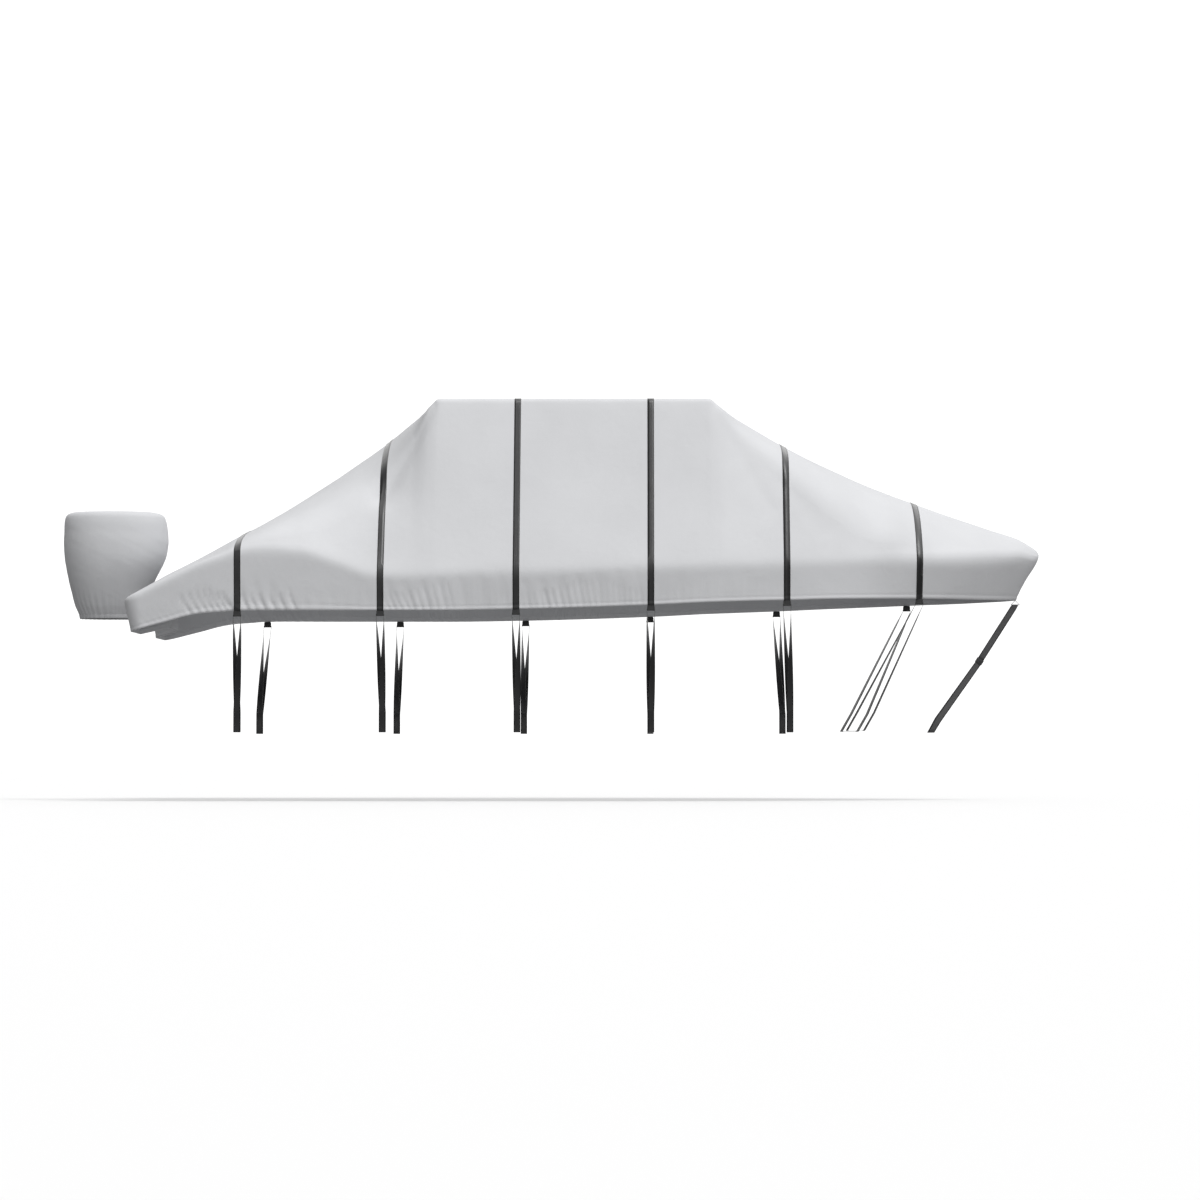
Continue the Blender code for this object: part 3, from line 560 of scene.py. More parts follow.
def soften_crease(bm, cut, share_of):
    """Rounds the corner between the top and the band, more and more towards the bow."""
    corners = [vert for vert in bm.verts if vert[cut].z < 1e-7 and vert[share_of] == 0.0]
    tree = KDTree(len(corners))
    inwards = []
    for k, vert in enumerate(corners):
        up, down = Vector(), Vector()
        for other in linked(vert):
            if other[share_of] > 0.0:
                down += (other.co - vert.co).normalized()
            elif other[cut].z > 1e-7:
                up += (other.co - vert.co).normalized()
        tree.insert(vert.co, k)
        inwards.append(up.normalized() + down.normalized())
    tree.balance()
    moves = {}
    for vert in bm.verts:
        place, k, _ = tree.find(vert.co)
        aft = lerp(STERN_CREASE_RADIUS, CREASE_RADIUS, past(place.x, *STERN_EASE))
        wide = lerp(aft, BOW_CREASE_RADIUS, past(place.x, *BOW_EASE))
        radius = max(NOSE_RADIUS, min(wide, 0.9 * abs(place.y)))
        near = 1.0 - abs(vert[cut].z) / radius
        if near > 0.0:
            moves[vert] = inwards[k] * (radius / 4.0 * near**2)
    for vert, move in moves.items():
        vert.co += move
    soft = [vert for vert in bm.verts if vert[cut].z < RELAXED_HALF]
    for _ in range(CREASE_ROUNDS):
        relax(bm, soft)
    for k in range(NOSE_ROUNDS):
        start = BOW_X - lerp(*NOSE_REACH, k / NOSE_ROUNDS)
        lowest = lerp(*NOSE_SHARE, k / NOSE_ROUNDS)
        relax(bm, [vert for vert in bm.verts if vert.co.x > start and vert[share_of] < lowest])


def cover_sheet():
    """The cover's outer face as one open sheet.

    Its layer "cut" holds the place on the flat cloth and, last, the distance from the crease.
    """
    places = row_places()
    rows = len(places) - 1
    bm = bmesh.new()
    bmesh.ops.create_grid(bm, x_segments=rows, y_segments=2 * HALF_COLUMNS, size=1.0)
    cut = bm.verts.layers.float_vector.new("cut")
    share_of = bm.verts.layers.float.new("band_share")
    arcs = {}
    for x in places:
        points = section(x)
        arcs[x] = np.cumsum([0.0] + [(b - a).length for a, b in zip(points, points[1:])])
    for vert in bm.verts:
        x = places[round((vert.co.x + 1.0) / 2.0 * rows)]
        column = round((vert.co.y + 1.0) * HALF_COLUMNS) - HALF_COLUMNS
        vert.co = surface_point(x, column)
        arc = arcs[x][abs(column)]
        vert[cut] = (x, math.copysign(arc, column), min(arcs[x][-1] - arc, x - STERN_X))
    bmesh.ops.remove_doubles(bm, verts=bm.verts, dist=0.0008)
    tip = Vector((BOW_X, 0.0, height("crease", BOW_X) - NOSE_SAG))
    foremost = [vert for vert in bm.verts if vert.co.x > BOW_X - 1e-4]
    bmesh.ops.pointmerge(bm, verts=foremost, merge_co=tip)
    for vert in bm.verts:
        if (vert.co - tip).length < 1e-6:
            vert[cut] = (BOW_X, 0.0, 0.0)
    drop_band(bm, cut, share_of)
    soften_crease(bm, cut, share_of)
    short = BOW_X - max(v.co.x for v in bm.verts)
    for vert in bm.verts:
        above = 1.0 - vert[share_of]
        vert.co.x += short * past(vert.co.x, NOSE_PUSH_START, BOW_X - NOSE_PUSH_START) * above
        vert.co.z -= NOSE_DROP * past(vert.co.x, NOSE_DROP_START, BOW_X - NOSE_DROP_START) * above
    face_outwards(bm)
    return bm


ROLL_SCALE = 2.6  # waves a metre of the slack between the T-top and the gunwale
ROLL_DEPTH = 0.0035
RIPPLE_SCALE = 9.0
RIPPLE_DEPTH = 0.0009
UNFOLDED_HALF = 0.2  # the folds stay this far from the centre line


def wrinkle(bm):
    """Presses the folds and puckers into the sheet, and lays a slight unevenness over it."""
    places = np.array([vert.co for vert in bm.verts])
    depths = fold_depths(places, FOLDS + puckers(PUCKERS) + puckers(GATHERS))
    bm.normal_update()
    for vert, depth in zip(bm.verts, depths):
        roll = noise.noise(vert.co * ROLL_SCALE) * ROLL_DEPTH
        ripple = noise.noise(vert.co * RIPPLE_SCALE) * RIPPLE_DEPTH
        on_roof = abs(vert.co.x) < ROOF_HALF_LENGTH and vert.co.z > -0.01
        vert.co += vert.normal * (ripple if on_roof else roll + ripple)
        if abs(vert.co.y) > UNFOLDED_HALF:
            vert.co -= vert.normal * depth


def turn_up_hem(bm):
    """The hem's fold stands a little proud below a sunk line of stitching."""
    share_of = bm.verts.layers.float["band_share"]
    bm.normal_update()
    for vert in bm.verts:
        vert.co += vert.normal * HEM_PROFILE.get(round(vert[share_of], 3), 0.0)


def map_uv(bm, name, place_of):
    """A UV map in metres."""
    uv = bm.loops.layers.uv.new(name)
    for face in bm.faces:
        for loop in face.loops:
            loop[uv].uv = place_of(loop.vert)


def cloth_uv(bm):
    cut = bm.verts.layers.float_vector["cut"]
    map_uv(bm, "cloth", lambda vert: vert[cut].xy)


def thicken(obj, thickness, offset):
    wall = obj.modifiers.new("wall", "SOLIDIFY")
    wall.thickness = thickness
    wall.offset = offset
    wall.use_even_offset = True


WEAVE_PITCH = 0.0009
WEAVE_HEIGHT = 0.00012
CREASE_GRAIN = 14.0  # soft handling creases, per metre
CREASE_HEIGHT = 0.0025


def weave_bump(tree, below):
    """Bump of a plain weave, one thread over and one under, on top of the bump below it."""
    split = node(tree, "SeparateXYZ", node(tree, "UVMap", uv_map="cloth"))
    per_metre = math.pi / WEAVE_PITCH
    turns = [maths(tree, "MULTIPLY", split.outputs[axis], per_metre) for axis in ("X", "Y")]
    over = maths(tree, "MULTIPLY", *(maths(tree, "SINE", turn) for turn in turns))
    return node(tree, "Bump", Strength=0.6, Distance=WEAVE_HEIGHT, Height=over, Normal=below)


def coated_cloth(name, colour, painted_shade=None):
    """Polyester with a matt water-tight coat: faint weave, handling creases, a cloudy colour.

    Its last argument paints shade that darkens it lower down: where the shade starts, where it is
    darkest, and how dark.
    """
    finish, tree, shader = new_finish(
        name, Roughness=0.78, Specular_IOR_Level=0.28, Sheen_Weight=0.06, Sheen_Roughness=0.5
    )
    place = object_place(tree)
    cloud = node(tree, "TexNoise", place, Scale=1.7, Detail=4.0, Roughness=0.55)
    paint = ramp(tree, cloud, (0.30, 0.70), (toned(colour, 0.965), toned(colour, 1.03)))
    # painted shade: lower down the colour is mixed towards black, standing in for the shade there
    if painted_shade:
        top, bottom, strength = painted_shade
        rise = node(tree, "SeparateXYZ", place).outputs["Z"]
        low = node(tree, "MapRange", rise, From_Min=top, From_Max=bottom, To_Max=strength)
        painted_shade_mix = node(tree, "Mix", data_type="RGBA", Factor=low, A=paint, B=(0.0, 0.0, 0.0, 1.0))
        paint = painted_shade_mix.outputs["Result"]
    creases = node(
        tree, "TexNoise", place, Scale=CREASE_GRAIN, Detail=3.0, Roughness=0.5, Distortion=0.6
    )
    soft = node(tree, "Bump", Strength=0.5, Distance=CREASE_HEIGHT, Height=creases)
    fill(tree, shader, Base_Color=paint, Normal=weave_bump(tree, soft))
    return finish


COVER_GREY = (0.600, 0.605, 0.620)

form = cover_sheet()
wrinkle(form)
turn_up_hem(form)
cloth_uv(form)
cover = add_piece(form.copy(), "cover_cloth_sheet", coated_cloth("coated_grey_cloth", COVER_GREY))
thicken(cover, CLOTH, -1.0)
dress(cover, "cover")

# ---------------------------------------------------------------- cover: hem stitching
# The hem is folded over a draw cord and lock-stitched in a heavy grey thread.
# Each stitch is a short pill that lies on the cloth.
STITCH = (0.0055, 0.0011, 0.0012)  # length, thickness and height
STITCH_PITCH = 0.0085
STITCH_LIFT = 0.0003
STITCH_TAPER = 0.6  # of its ends
THREAD_GREY = (0.36, 0.365, 0.38)


def ring_in_order(bm, share):
    """The sheet's vertices at this share of the band, in order round the cover."""
    share_of = bm.verts.layers.float["band_share"]
    row = {vert for vert in bm.verts if abs(vert[share_of] - share) < 1e-4}
    start = min(row, key=lambda vert: (vert.co.x, vert.co.y))
    order, seen = [start], {start}
    while True:
        step = [v for v in linked(order[-1]) if v in row and v not in seen]
        if not step:
            return order
        order.append(step[0])
        seen.add(step[0])


def stitch_line(name, row, thread):
    """Pills along a closed row of the sheet's vertices, on its surface."""
    bm = bmesh.new()
    run = [0.0]
    for a, b in zip(row, row[1:] + row[:1]):
        run.append(run[-1] + (b.co - a.co).length)
    count = int(run[-1] / STITCH_PITCH)
    at = 0
    for k in range(count):
        along = (k + 0.5) * run[-1] / count
        while run[at + 1] < along:
            at += 1
        share = (along - run[at]) / (run[at + 1] - run[at])
        a, b = row[at], row[(at + 1) % len(row)]
        way = (b.co - a.co).normalized()
        out = a.normal.lerp(b.normal, share).normalized()
        side = out.cross(way).normalized()
        turn = Matrix((way, side, way.cross(side))).transposed().to_4x4()
        turn.translation = a.co.lerp(b.co, share) + out * STITCH_LIFT
        shape = turn @ Matrix.Diagonal((*STITCH, 1.0))
        made = bmesh.ops.create_cube(bm, size=1.0, matrix=shape)["verts"]
        ends = [v for v in made if (v.co - turn.translation).dot(way) > 0]
        for group in (ends, [v for v in made if v not in ends]):
            middle = sum((v.co for v in group), Vector()) / 4
            about = Matrix.Translation(-middle)
            bmesh.ops.scale(bm, vec=(STITCH_TAPER,) * 3, verts=group, space=about)
    return add_piece(bm, name, thread)


form.normal_update()
twist = {"Scale": 420.0, "Distortion": 1.0}
tones = (toned(THREAD_GREY, 0.8), THREAD_GREY)
hem_thread = grained(
    "grey_hem_thread", "TexWave", twist, tones, 0.5, Roughness=0.62, Sheen_Weight=0.2
)
hem_stitching = stitch_line("hem_stitching", ring_in_order(form, STITCH_SHARE), hem_thread)
dress(hem_stitching)

# ---------------------------------------------------------------- overhead webbing
# Six bands of black polyester webbing run over the cover from hem buckle to hem buckle.
# They are sewn down along their selvedges, so they follow every fold of the cloth.
WEBBING_WIDTH = 0.044
WEBBING = 0.002
LAY = 0.0006
SEAT = 0.0003  # between a piece and what it is seated in
STRAP_X = (-2.240, -1.283, -0.377, 0.522, 1.432, 2.342)
STRAP_NECK = 0.0045
POCKET_DEPTH = 0.010
HEM_ZONE = 0.012  # above the band's lowest end, where its cut edge lies
RIB_PITCH = 0.0016
RIB_HEIGHT = 0.00012
SELVEDGE = 0.0055
SELVEDGE_EDGE = 0.0010
# painted highlight: where the webbing faces up towards the light its colour is painted paler,
# standing in for the light it catches
HIGHLIGHT_SIDE = (0.40, 0.0, 0.90)
HIGHLIGHT_FACING = (0.32, 0.44, 0.75, 0.87)  # how far it faces that way
PAINTED_HIGHLIGHT = (0.0, 0.045, 0.060, 0.105)  # and how much paler it is there


def woven_webbing(name, colour):
    """Herringbone ribs across the width, a darker rolled selvedge at each edge, a waxy shine."""
    finish, tree, shader = new_finish(
        name,
        Specular_IOR_Level=0.30,
        Coat_Weight=1.0,
        Coat_IOR=1.34,
        Coat_Roughness=0.40,
        Sheen_Weight=0.35,
        Sheen_Roughness=0.25,
    )
    split = node(tree, "SeparateXYZ", node(tree, "UVMap", uv_map="webbing"))
    across = maths(tree, "ABSOLUTE", split.outputs["X"])
    zigzag = maths(tree, "PINGPONG", across, WEBBING_WIDTH / 8)
    along = maths(tree, "ADD", split.outputs["Y"], zigzag)
    ribs = maths(tree, "SINE", maths(tree, "MULTIPLY", along, 2.0 * math.pi / RIB_PITCH))
    inside = WEBBING_WIDTH / 2 - SELVEDGE
    edge = node(tree, "MapRange", across, From_Min=inside - SELVEDGE_EDGE, From_Max=inside)
    relief = maths(tree, "MULTIPLY_ADD", edge, 1.8, ribs)
    bump = node(tree, "Bump", Strength=0.5, Distance=RIB_HEIGHT, Height=relief)
    worn = node(tree, "TexNoise", object_place(tree), Scale=6.0, Detail=5.0, Roughness=0.6)
    tone = ramp(tree, worn, (0.30, 0.72), (toned(colour, 0.80), toned(colour, 1.25)))
    edged = node(tree, "Mix", data_type="RGBA", Factor=edge, A=tone, B=(*toned(colour, 0.35), 1.0))
    # painted highlight: the colour is made paler where the webbing faces up towards the light
    normal = node(tree, "NewGeometry").outputs["Normal"]
    facing = node(tree, "VectorMath", normal, HIGHLIGHT_SIDE, operation="DOT_PRODUCT").outputs["Value"]
    painted_highlight_tone = ramp(tree, facing, HIGHLIGHT_FACING, PAINTED_HIGHLIGHT)
    base = edged.outputs["Result"]
    paint = node(tree, "Mix", data_type="RGBA", blend_type="ADD", Factor=1.0, A=base, B=painted_highlight_tone)
    gloss = node(tree, "MapRange", edge, To_Min=0.34, To_Max=0.70)
    fill(tree, shader, Base_Color=paint.outputs["Result"], Normal=bump, Roughness=gloss)
    return finish


def reach_of(edge):
    """The edge's length along each axis."""
    way = edge.verts[0].co - edge.verts[1].co
    return Vector((abs(way.x), abs(way.y), abs(way.z)))


def buckle_top(hand, number):
    """The middle of a hem buckle's top."""
    low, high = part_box(f"hem_buckle_{hand}_{number}")
    return Vector(((low[0] + high[0]) / 2, (low[1] + high[1]) / 2, high[2]))


def hem_cut(bm, side):
    """The webbing's cut edge at the hem on this side."""
    ends = [e for e in bm.edges if e.is_boundary and all(side * v.co.y > 0 for v in e.verts)]
    level = min(v.co.z for e in ends for v in e.verts) + HEM_ZONE
    low = [e for e in ends if all(v.co.z < level for v in e.verts)]
    return [e for e in low if reach_of(e).x > reach_of(e).z]


def overhead_band(number, x, webbing):
    """The band at x, cut from the cover's own form and let down into its two buckles."""
    bm = form.copy()
    cut = bm.verts.layers.float_vector["cut"]
    for side in (-1.0, 1.0):
        bmesh.ops.bisect_plane(
            bm,
            geom=[*bm.verts, *bm.edges, *bm.faces],
            plane_co=(x + side * WEBBING_WIDTH / 2, 0.0, 0.0),
            plane_no=(side, 0.0, 0.0),
            clear_outer=True,
        )
    bmesh.ops.remove_doubles(bm, verts=bm.verts, dist=0.0003)
    bm.normal_update()
    for vert in bm.verts:
        vert.co += vert.normal * LAY * vert.calc_shell_factor()
    for side, hand in ((-1.0, "starboard"), (1.0, "port")):
        top = buckle_top(hand, number)
        middle = top.y - side * WEBBING / 2
        end = top.z - POCKET_DEPTH + SEAT
        hem = hem_cut(bm, side)
        start = min(v.co.z for e in hem for v in e.verts)
        for level in (start - STRAP_NECK / 2, start - STRAP_NECK, end):
            fresh, hem = extruded(bm, hem)
            hem = [e for e in hem if reach_of(e).x > WEBBING_WIDTH / 50]
            for vert in fresh:
                vert[cut] = (vert[cut].x, vert[cut].y + side * abs(vert.co.z - level), 0.0)
                vert.co.y = middle
                vert.co.z = level
    map_uv(bm, "webbing", lambda vert: (vert.co.x - x, vert[cut].y))
    band = add_piece(bm, f"overhead_webbing_{number}", webbing)
    thicken(band, WEBBING, 1.0)
    dress(band, f"overhead_strap_{number}")


black_webbing = woven_webbing("black_ribbed_webbing", (0.007, 0.007, 0.008))
for number, x in enumerate(STRAP_X, 1):
    overhead_band(number, x, black_webbing)

# ---------------------------------------------------------------- hem buckles
# Twelve moulded black plastic buckles hang on the ends of the overhead webbing.
# Each has a pocket in its top for the webbing and a tunnel from side to side for the tie-down loop.
BUCKLE = (0.050, 0.018, 0.034)
BUCKLE_CORNER = 0.0040
BUCKLE_RIM = 0.0012
POCKET = (0.0448, 0.0028)
TUNNEL_DROP = 0.0215
TUNNEL = (0.0150, 0.0032)
FACE_INSET = 0.0032
FACE_SINK = 0.0014
SINK_DRAFT = 0.0010
GRIP_RIB = (0.036, 0.0022, 0.0013)
GRIP_DROPS = (0.0075, 0.0115, 0.0265)
RIB_ROUND = 0.0005
SHARP_ANGLE = 35.0  # degrees, past which an edge of the moulding shades sharp


def moulded_plastic(name, colour):
    """Black moulded nylon: fine spark-eroded grain, a soft shine, edges rubbed a little lighter."""
    finish, tree, shader = new_finish(name, Roughness=0.42)
    grain = node(tree, "TexNoise", object_place(tree), Scale=1400.0, Detail=2.0)
    bump = node(tree, "Bump", Strength=0.25, Distance=0.0002, Height=grain)
    edges = node(tree, "NewGeometry").outputs["Pointiness"]
    rub = ramp(tree, edges, (0.50, 0.62), (colour, toned(colour, 2.2)))
    fill(tree, shader, Base_Color=rub, Normal=bump)
    return finish


def block(bm, size, place):
    """A block in the bmesh, its middle at the place; returns its edges."""
    matrix = Matrix.Translation(place) @ Matrix.Diagonal((*size, 1.0))
    made = bmesh.ops.create_cube(bm, size=1.0, matrix=matrix)["verts"]
    return list({edge for vert in made for edge in vert.link_edges})


def soften(bm, edges, width, segments):
    ends = {"segments": segments, "profile": 0.5, "affect": "EDGES", "material": -1}
    bmesh.ops.bevel(bm, geom=edges, offset=width, **ends)


def carved(bm, name, cutters):
    """The bmesh's shape less the blocks (size, place) that are cut out of it."""
    tool_bm = bmesh.new()
    for size, place in cutters:
        block(tool_bm, size, place)
    body, tool = add_piece(bm, f"{name}_whole", None), add_piece(tool_bm, f"{name}_cut", None)
    cut = body.modifiers.new("cut", "BOOLEAN")
    cut.operation = "DIFFERENCE"
    cut.solver = "EXACT"
    cut.object = tool
    bm = bmesh.new()
    bm.from_object(body, bpy.context.evaluated_depsgraph_get())
    for obj in (body, tool):
        bpy.data.meshes.remove(obj.data)
    return bm


def sink_faces(bm):
    """Sinks a panel into the front and the back."""
    bm.normal_update()
    for face in [f for f in bm.faces if abs(f.normal.y) > 0.9 and f.calc_area() > 2e-4]:
        way = face.normal.copy()
        for inset in (FACE_INSET, SINK_DRAFT):
            bmesh.ops.inset_region(bm, faces=[face], thickness=inset, depth=0.0)
        bmesh.ops.translate(bm, vec=-way * FACE_SINK, verts=face.verts)


def buckle_block(size, corner, rim):
    """A rounded block with its top middle at the origin."""
    bm = bmesh.new()
    edges = block(bm, size, (0.0, 0.0, -size[2] / 2))
    soften(bm, [e for e in edges if reach_of(e).z > size[2] / 2], corner, 4)
    soften(bm, [e for e in bm.edges if reach_of(e).z < 1e-6], rim, 2)
    return bm


def add_grips(bm, rib, stand, drops):
    """Ribs across the front and the back, their middles this far from the middle of the block."""
    for drop in drops:
        for side in (-1.0, 1.0):
            soften(bm, block(bm, rib, (0.0, side * stand, -drop)), RIB_ROUND, 2)


def hem_buckle_shape():
    """The buckle with its top middle at the origin."""
    width, depth, _ = BUCKLE
    bm = buckle_block(BUCKLE, BUCKLE_CORNER, BUCKLE_RIM)
    sink_faces(bm)
    pocket = ((*POCKET, 2 * POCKET_DEPTH), (0.0, 0.0, 0.0))
    tunnel = ((2 * width, *TUNNEL), (0.0, 0.0, -TUNNEL_DROP))
    bm = carved(bm, "hem_buckle", [pocket, tunnel])
    add_grips(bm, GRIP_RIB, depth / 2 - FACE_SINK + 0.0004, GRIP_DROPS)
    return bm


def add_buckle(bm, name, solid):
    buckle = add_piece(bm, name, black_plastic)
    buckle.data.set_sharp_from_angle(angle=math.radians(SHARP_ANGLE))
    dress(buckle, solid)


black_plastic = moulded_plastic("black_buckle_plastic", (0.018, 0.018, 0.019))
buckle_shape = hem_buckle_shape()
for number in range(1, 7):
    for hand in ("starboard", "port"):
        bm = buckle_shape.copy()
        bmesh.ops.translate(bm, vec=buckle_top(hand, number), verts=bm.verts)
        add_buckle(bm, f"moulded_buckle_{hand}_{number}", f"hem_buckle_{hand}_{number}")

# ---------------------------------------------------------------- tie-down loops
# Each hem buckle holds a closed loop of the same black webbing.  It runs through the buckle's
# tunnel, down edge on, and turns flat round the trailer's rail, which isn't part of the set.
HALF_IN_TUNNEL = 0.0065  # half the gathered width where the webbing is bunched in the tunnel
OPENING_RUN = 0.120  # length over which it spreads to its full width
STRAND_STEPS = 64
# back and down from the buckle's side
TUNNEL_TURN = ((0.0022, 0.0), (0.0007, 0.0007), (0.0, 0.0022))
RAIL_CORNER = 0.008
# x and distance from the centre line at the rail, drop there and below it, half the rail's width,
# degrees that the webbing turns on its way, how late it turns, how far forward its lowest bend is
ON_RAIL = (2.120, 2.258, 0.031, 90.0, 1.15, 0.0)
LOOPS = [
    *((x, 0.850, *ON_RAIL) for x in (-2.268, -1.288, -0.380, 0.523)),
    (1.462, 0.760, *ON_RAIL),
    (1.990, 0.420, 2.123, 2.246, 0.062, 22.0, 0.30, -0.07),
]
TAPE_COLUMNS = 6


def webbing_band(name, solid, rows, webbing, closed=False):
    """A band through rows of (middle, half width vector); a closed one ends where it starts."""
    bm = bmesh.new()
    last = len(rows) if closed else len(rows) - 1
    bmesh.ops.create_grid(bm, x_segments=last, y_segments=TAPE_COLUMNS, size=1.0)
    cut = bm.verts.layers.float_vector.new("cut")
    run = [0.0]
    for k in range(last):
        run.append(run[-1] + (rows[(k + 1) % len(rows)][0] - rows[k][0]).length)
    for vert in bm.verts:
        k = round((vert.co.x + 1.0) / 2.0 * last)
        middle, half = rows[k % len(rows)]
        share = vert.co.y
        vert[cut] = (share * WEBBING_WIDTH / 2, run[k], 0.0)
        vert.co = middle + half * share
    map_uv(bm, "webbing", lambda vert: vert[cut].xy)
    bmesh.ops.remove_doubles(bm, verts=bm.verts, dist=1e-5)
    bmesh.ops.recalc_face_normals(bm, faces=bm.faces)
    band = add_piece(bm, name, webbing)
    thicken(band, WEBBING, 0.0)
    dress(band, solid)


def tie_loop(number, hand, end):
    x, half_y, top_drop, low_drop, radius, turn_deg, lateness, sweep = end
    side = -1.0 if hand == "starboard" else 1.0
    lift = SEAT + WEBBING / 2
    reach = BUCKLE[0] / 2 + lift
    head = buckle_top(hand, number) + Vector((0.0, 0.0, lift - TUNNEL_DROP - TUNNEL[1] / 2))
    foot = Vector((x, side * half_y, -top_drop))
    turn = math.radians(turn_deg)
    foot_way = Vector((math.cos(turn), side * math.sin(turn), 0.0)) * radius
    narrow = Vector((0.0, HALF_IN_TUNNEL, 0.0))

    def strand(way):
        """Rows from head to foot; way is 1 for the strand nearer the bow, -1 for the other."""
        top = head + Vector((way * reach, 0.0, 0.0))
        start = top - Vector((0.0, 0.0, BUCKLE[2] - TUNNEL_DROP + WEBBING))
        stop = foot + foot_way * way
        rows = [(top + Vector((-way * back, 0.0, -down)), narrow) for back, down in TUNNEL_TURN]
        for step in range(STRAND_STEPS + 1):
            share = step / STRAND_STEPS
            angle = turn * share**lateness
            across = Vector((-side * math.sin(angle), math.cos(angle), 0.0))
            opened = smoothstep(share * (start - stop).length / OPENING_RUN)
            half = lerp(HALF_IN_TUNNEL, WEBBING_WIDTH / 2, opened)
            rows.append((start.lerp(stop, share), across * half))
        return rows

    down, up = strand(1.0), strand(-1.0)
    # down past the rail's side, under it and up again, with small radii at its corners
    under = Vector((sweep, 0.0, top_drop - low_drop))
    corners = [down[-1][0], down[-1][0] + under, up[-1][0] + under, up[-1][0]]
    bend = corner_points(*corners[:3], RAIL_CORNER, 4) + corner_points(*corners[1:], RAIL_CORNER, 4)
    rows = down + [(point, down[-1][1]) for point in bend] + up[::-1]
    names = f"loop_webbing_{hand}_{number}", f"tie_loop_{hand}_{number}"
    webbing_band(*names, rows, black_webbing, closed=True)


for number, end in enumerate(LOOPS, 1):
    for hand in ("starboard", "port"):
        tie_loop(number, hand, end)

# ---------------------------------------------------------------- bow tie-down
# A steel ring sewn under the bow's hem takes a short webbing strap to a buckle.  From there a
# doubled strap runs down and aft round the trailer's winch post, which isn't part of the set.
RING_WIRE = 0.002
RING_CORNER = 0.004
RING_HALF_BAR = 0.031
RING_HEIGHT = 0.032
BOW_BUCKLE = Vector((2.812, 0.0, -1.746))
BOW_BUCKLE_SIZE = (0.052, 0.014, 0.036)
BOW_BUCKLE_CORNER = 0.0030
BOW_BUCKLE_RIM = 0.0010
BOW_POCKET_PLAY = 0.0012
BOW_RIB = (0.038, 0.0020, 0.0014)
BOW_RIB_DROPS = (0.012, 0.018, 0.024)
BOW_FOOT = Vector((2.514, 0.0, -2.167))
BOW_FOOT_LOW = -2.255
BOW_FOOT_AFT = 0.050
BOW_FOOT_HALF = 0.046
BOW_NECK = 0.006  # below the buckle, before the strap opens
BOW_RETURN = 0.070
BOW_TURN = 0.026
OUT = Vector((0.0, -1.0, 0.0))
FLAT_HALF = Vector((WEBBING_WIDTH / 2, 0.0, 0.0))


def half_across(way):
    """The webbing's half width vector where it runs this way in the centre plane."""
    return Vector((-way.z, 0.0, way.x)) * WEBBING_WIDTH / 2


def bow_ring(steel):
    """The ring as a bent wire; returns the middle of its lower bar."""
    rounding = RING_CORNER * RING_HEIGHT / math.hypot(RING_HALF_BAR, RING_HEIGHT) / 2
    apex = hem_point(Vector((BOW_X, 0.0, 0.0))) - Vector((0.0, 0.0, RING_WIRE + SEAT - rounding))
    bar = apex - Vector((0.0, 0.0, RING_HEIGHT))
    reach = Vector((RING_HALF_BAR, 0.0, 0.0))
    corners = [apex, bar + reach, bar - reach]
    curve = bpy.data.curves.new("bow_ring_wire", "CURVE")
    curve.dimensions = "3D"
    curve.bevel_depth = RING_WIRE
    curve.bevel_resolution = 6
    places = []
    for k, corner in enumerate(corners):
        places += corner_points(corners[k - 1], corner, corners[(k + 1) % 3], RING_CORNER, 8)
    spline = curve.splines.new("POLY")
    spline.points.add(len(places) - 1)
    for point, place in zip(spline.points, places):
        point.co = (*place, 1.0)
    spline.use_cyclic_u = True
    curve.materials.append(steel)
    ring = add_object("bow_ring_wire", curve)
    dress(ring, "bow_ring")
    return bar


def in_steps(rows, longest=0.03):
    """The rows with more between them, so that a long run bends and shades smoothly."""
    made = []
    for (a, half_a), (b, half_b) in zip(rows, rows[1:]):
        count = max(1, math.ceil((b - a).length / longest))
        made += [(a.lerp(b, k / count), half_a.lerp(half_b, k / count)) for k in range(count)]
    return made + [rows[-1]]


def upper_bow_strap(bar, down):
    """From the buckle's upper pocket over the ring's bar, and back down behind itself."""
    wrap = RING_WIRE + SEAT + WEBBING / 2
    in_line = half_across(down)
    end = BOW_BUCKLE + down * (POCKET_DEPTH - 2 * SEAT)
    rows = [(end, in_line), (bar + down * BOW_TURN, in_line)]
    for k in range(13):
        angle = math.pi * k / 12
        way = OUT * math.cos(angle) + Vector((0.0, 0.0, math.sin(angle)))
        rows.append((bar + way * wrap, FLAT_HALF))
    rows += [
        (bar + down * BOW_TURN - OUT * 1.3 * WEBBING, in_line),
        (bar + down * BOW_RETURN - OUT * (WEBBING + SEAT), in_line),
    ]
    webbing_band("bow_webbing_upper", "bow_strap_upper", in_steps(rows), bow_webbing)


def lower_bow_strap(down):
    """A doubled strap from the buckle's lower pocket that opens round the winch post."""
    layer = (WEBBING + SEAT) / 2
    bottom = BOW_BUCKLE + down * (BOW_BUCKLE_SIZE[2] - POCKET_DEPTH + 2 * SEAT)
    leave = BOW_BUCKLE + down * (BOW_BUCKLE_SIZE[2] + BOW_NECK)
    in_line = half_across(down)
    slanted = half_across((BOW_FOOT - leave).normalized())
    under = Vector((BOW_FOOT.x - BOW_FOOT_AFT, 0.0, BOW_FOOT_LOW))
    strand = [(bottom, in_line, layer), (leave, in_line, layer)]
    for step in range(1, 13):
        share = step / 12
        strand.append((leave.lerp(BOW_FOOT, share), slanted, lerp(layer, BOW_FOOT_HALF, share)))
    strand.append((under, FLAT_HALF, BOW_FOOT_HALF))
    rows = [(place + OUT * spread, half) for place, half, spread in strand]
    rows += [(place - OUT * spread, half) for place, half, spread in reversed(strand)]
    webbing_band("bow_webbing_lower", "bow_strap_lower", in_steps(rows), bow_webbing)


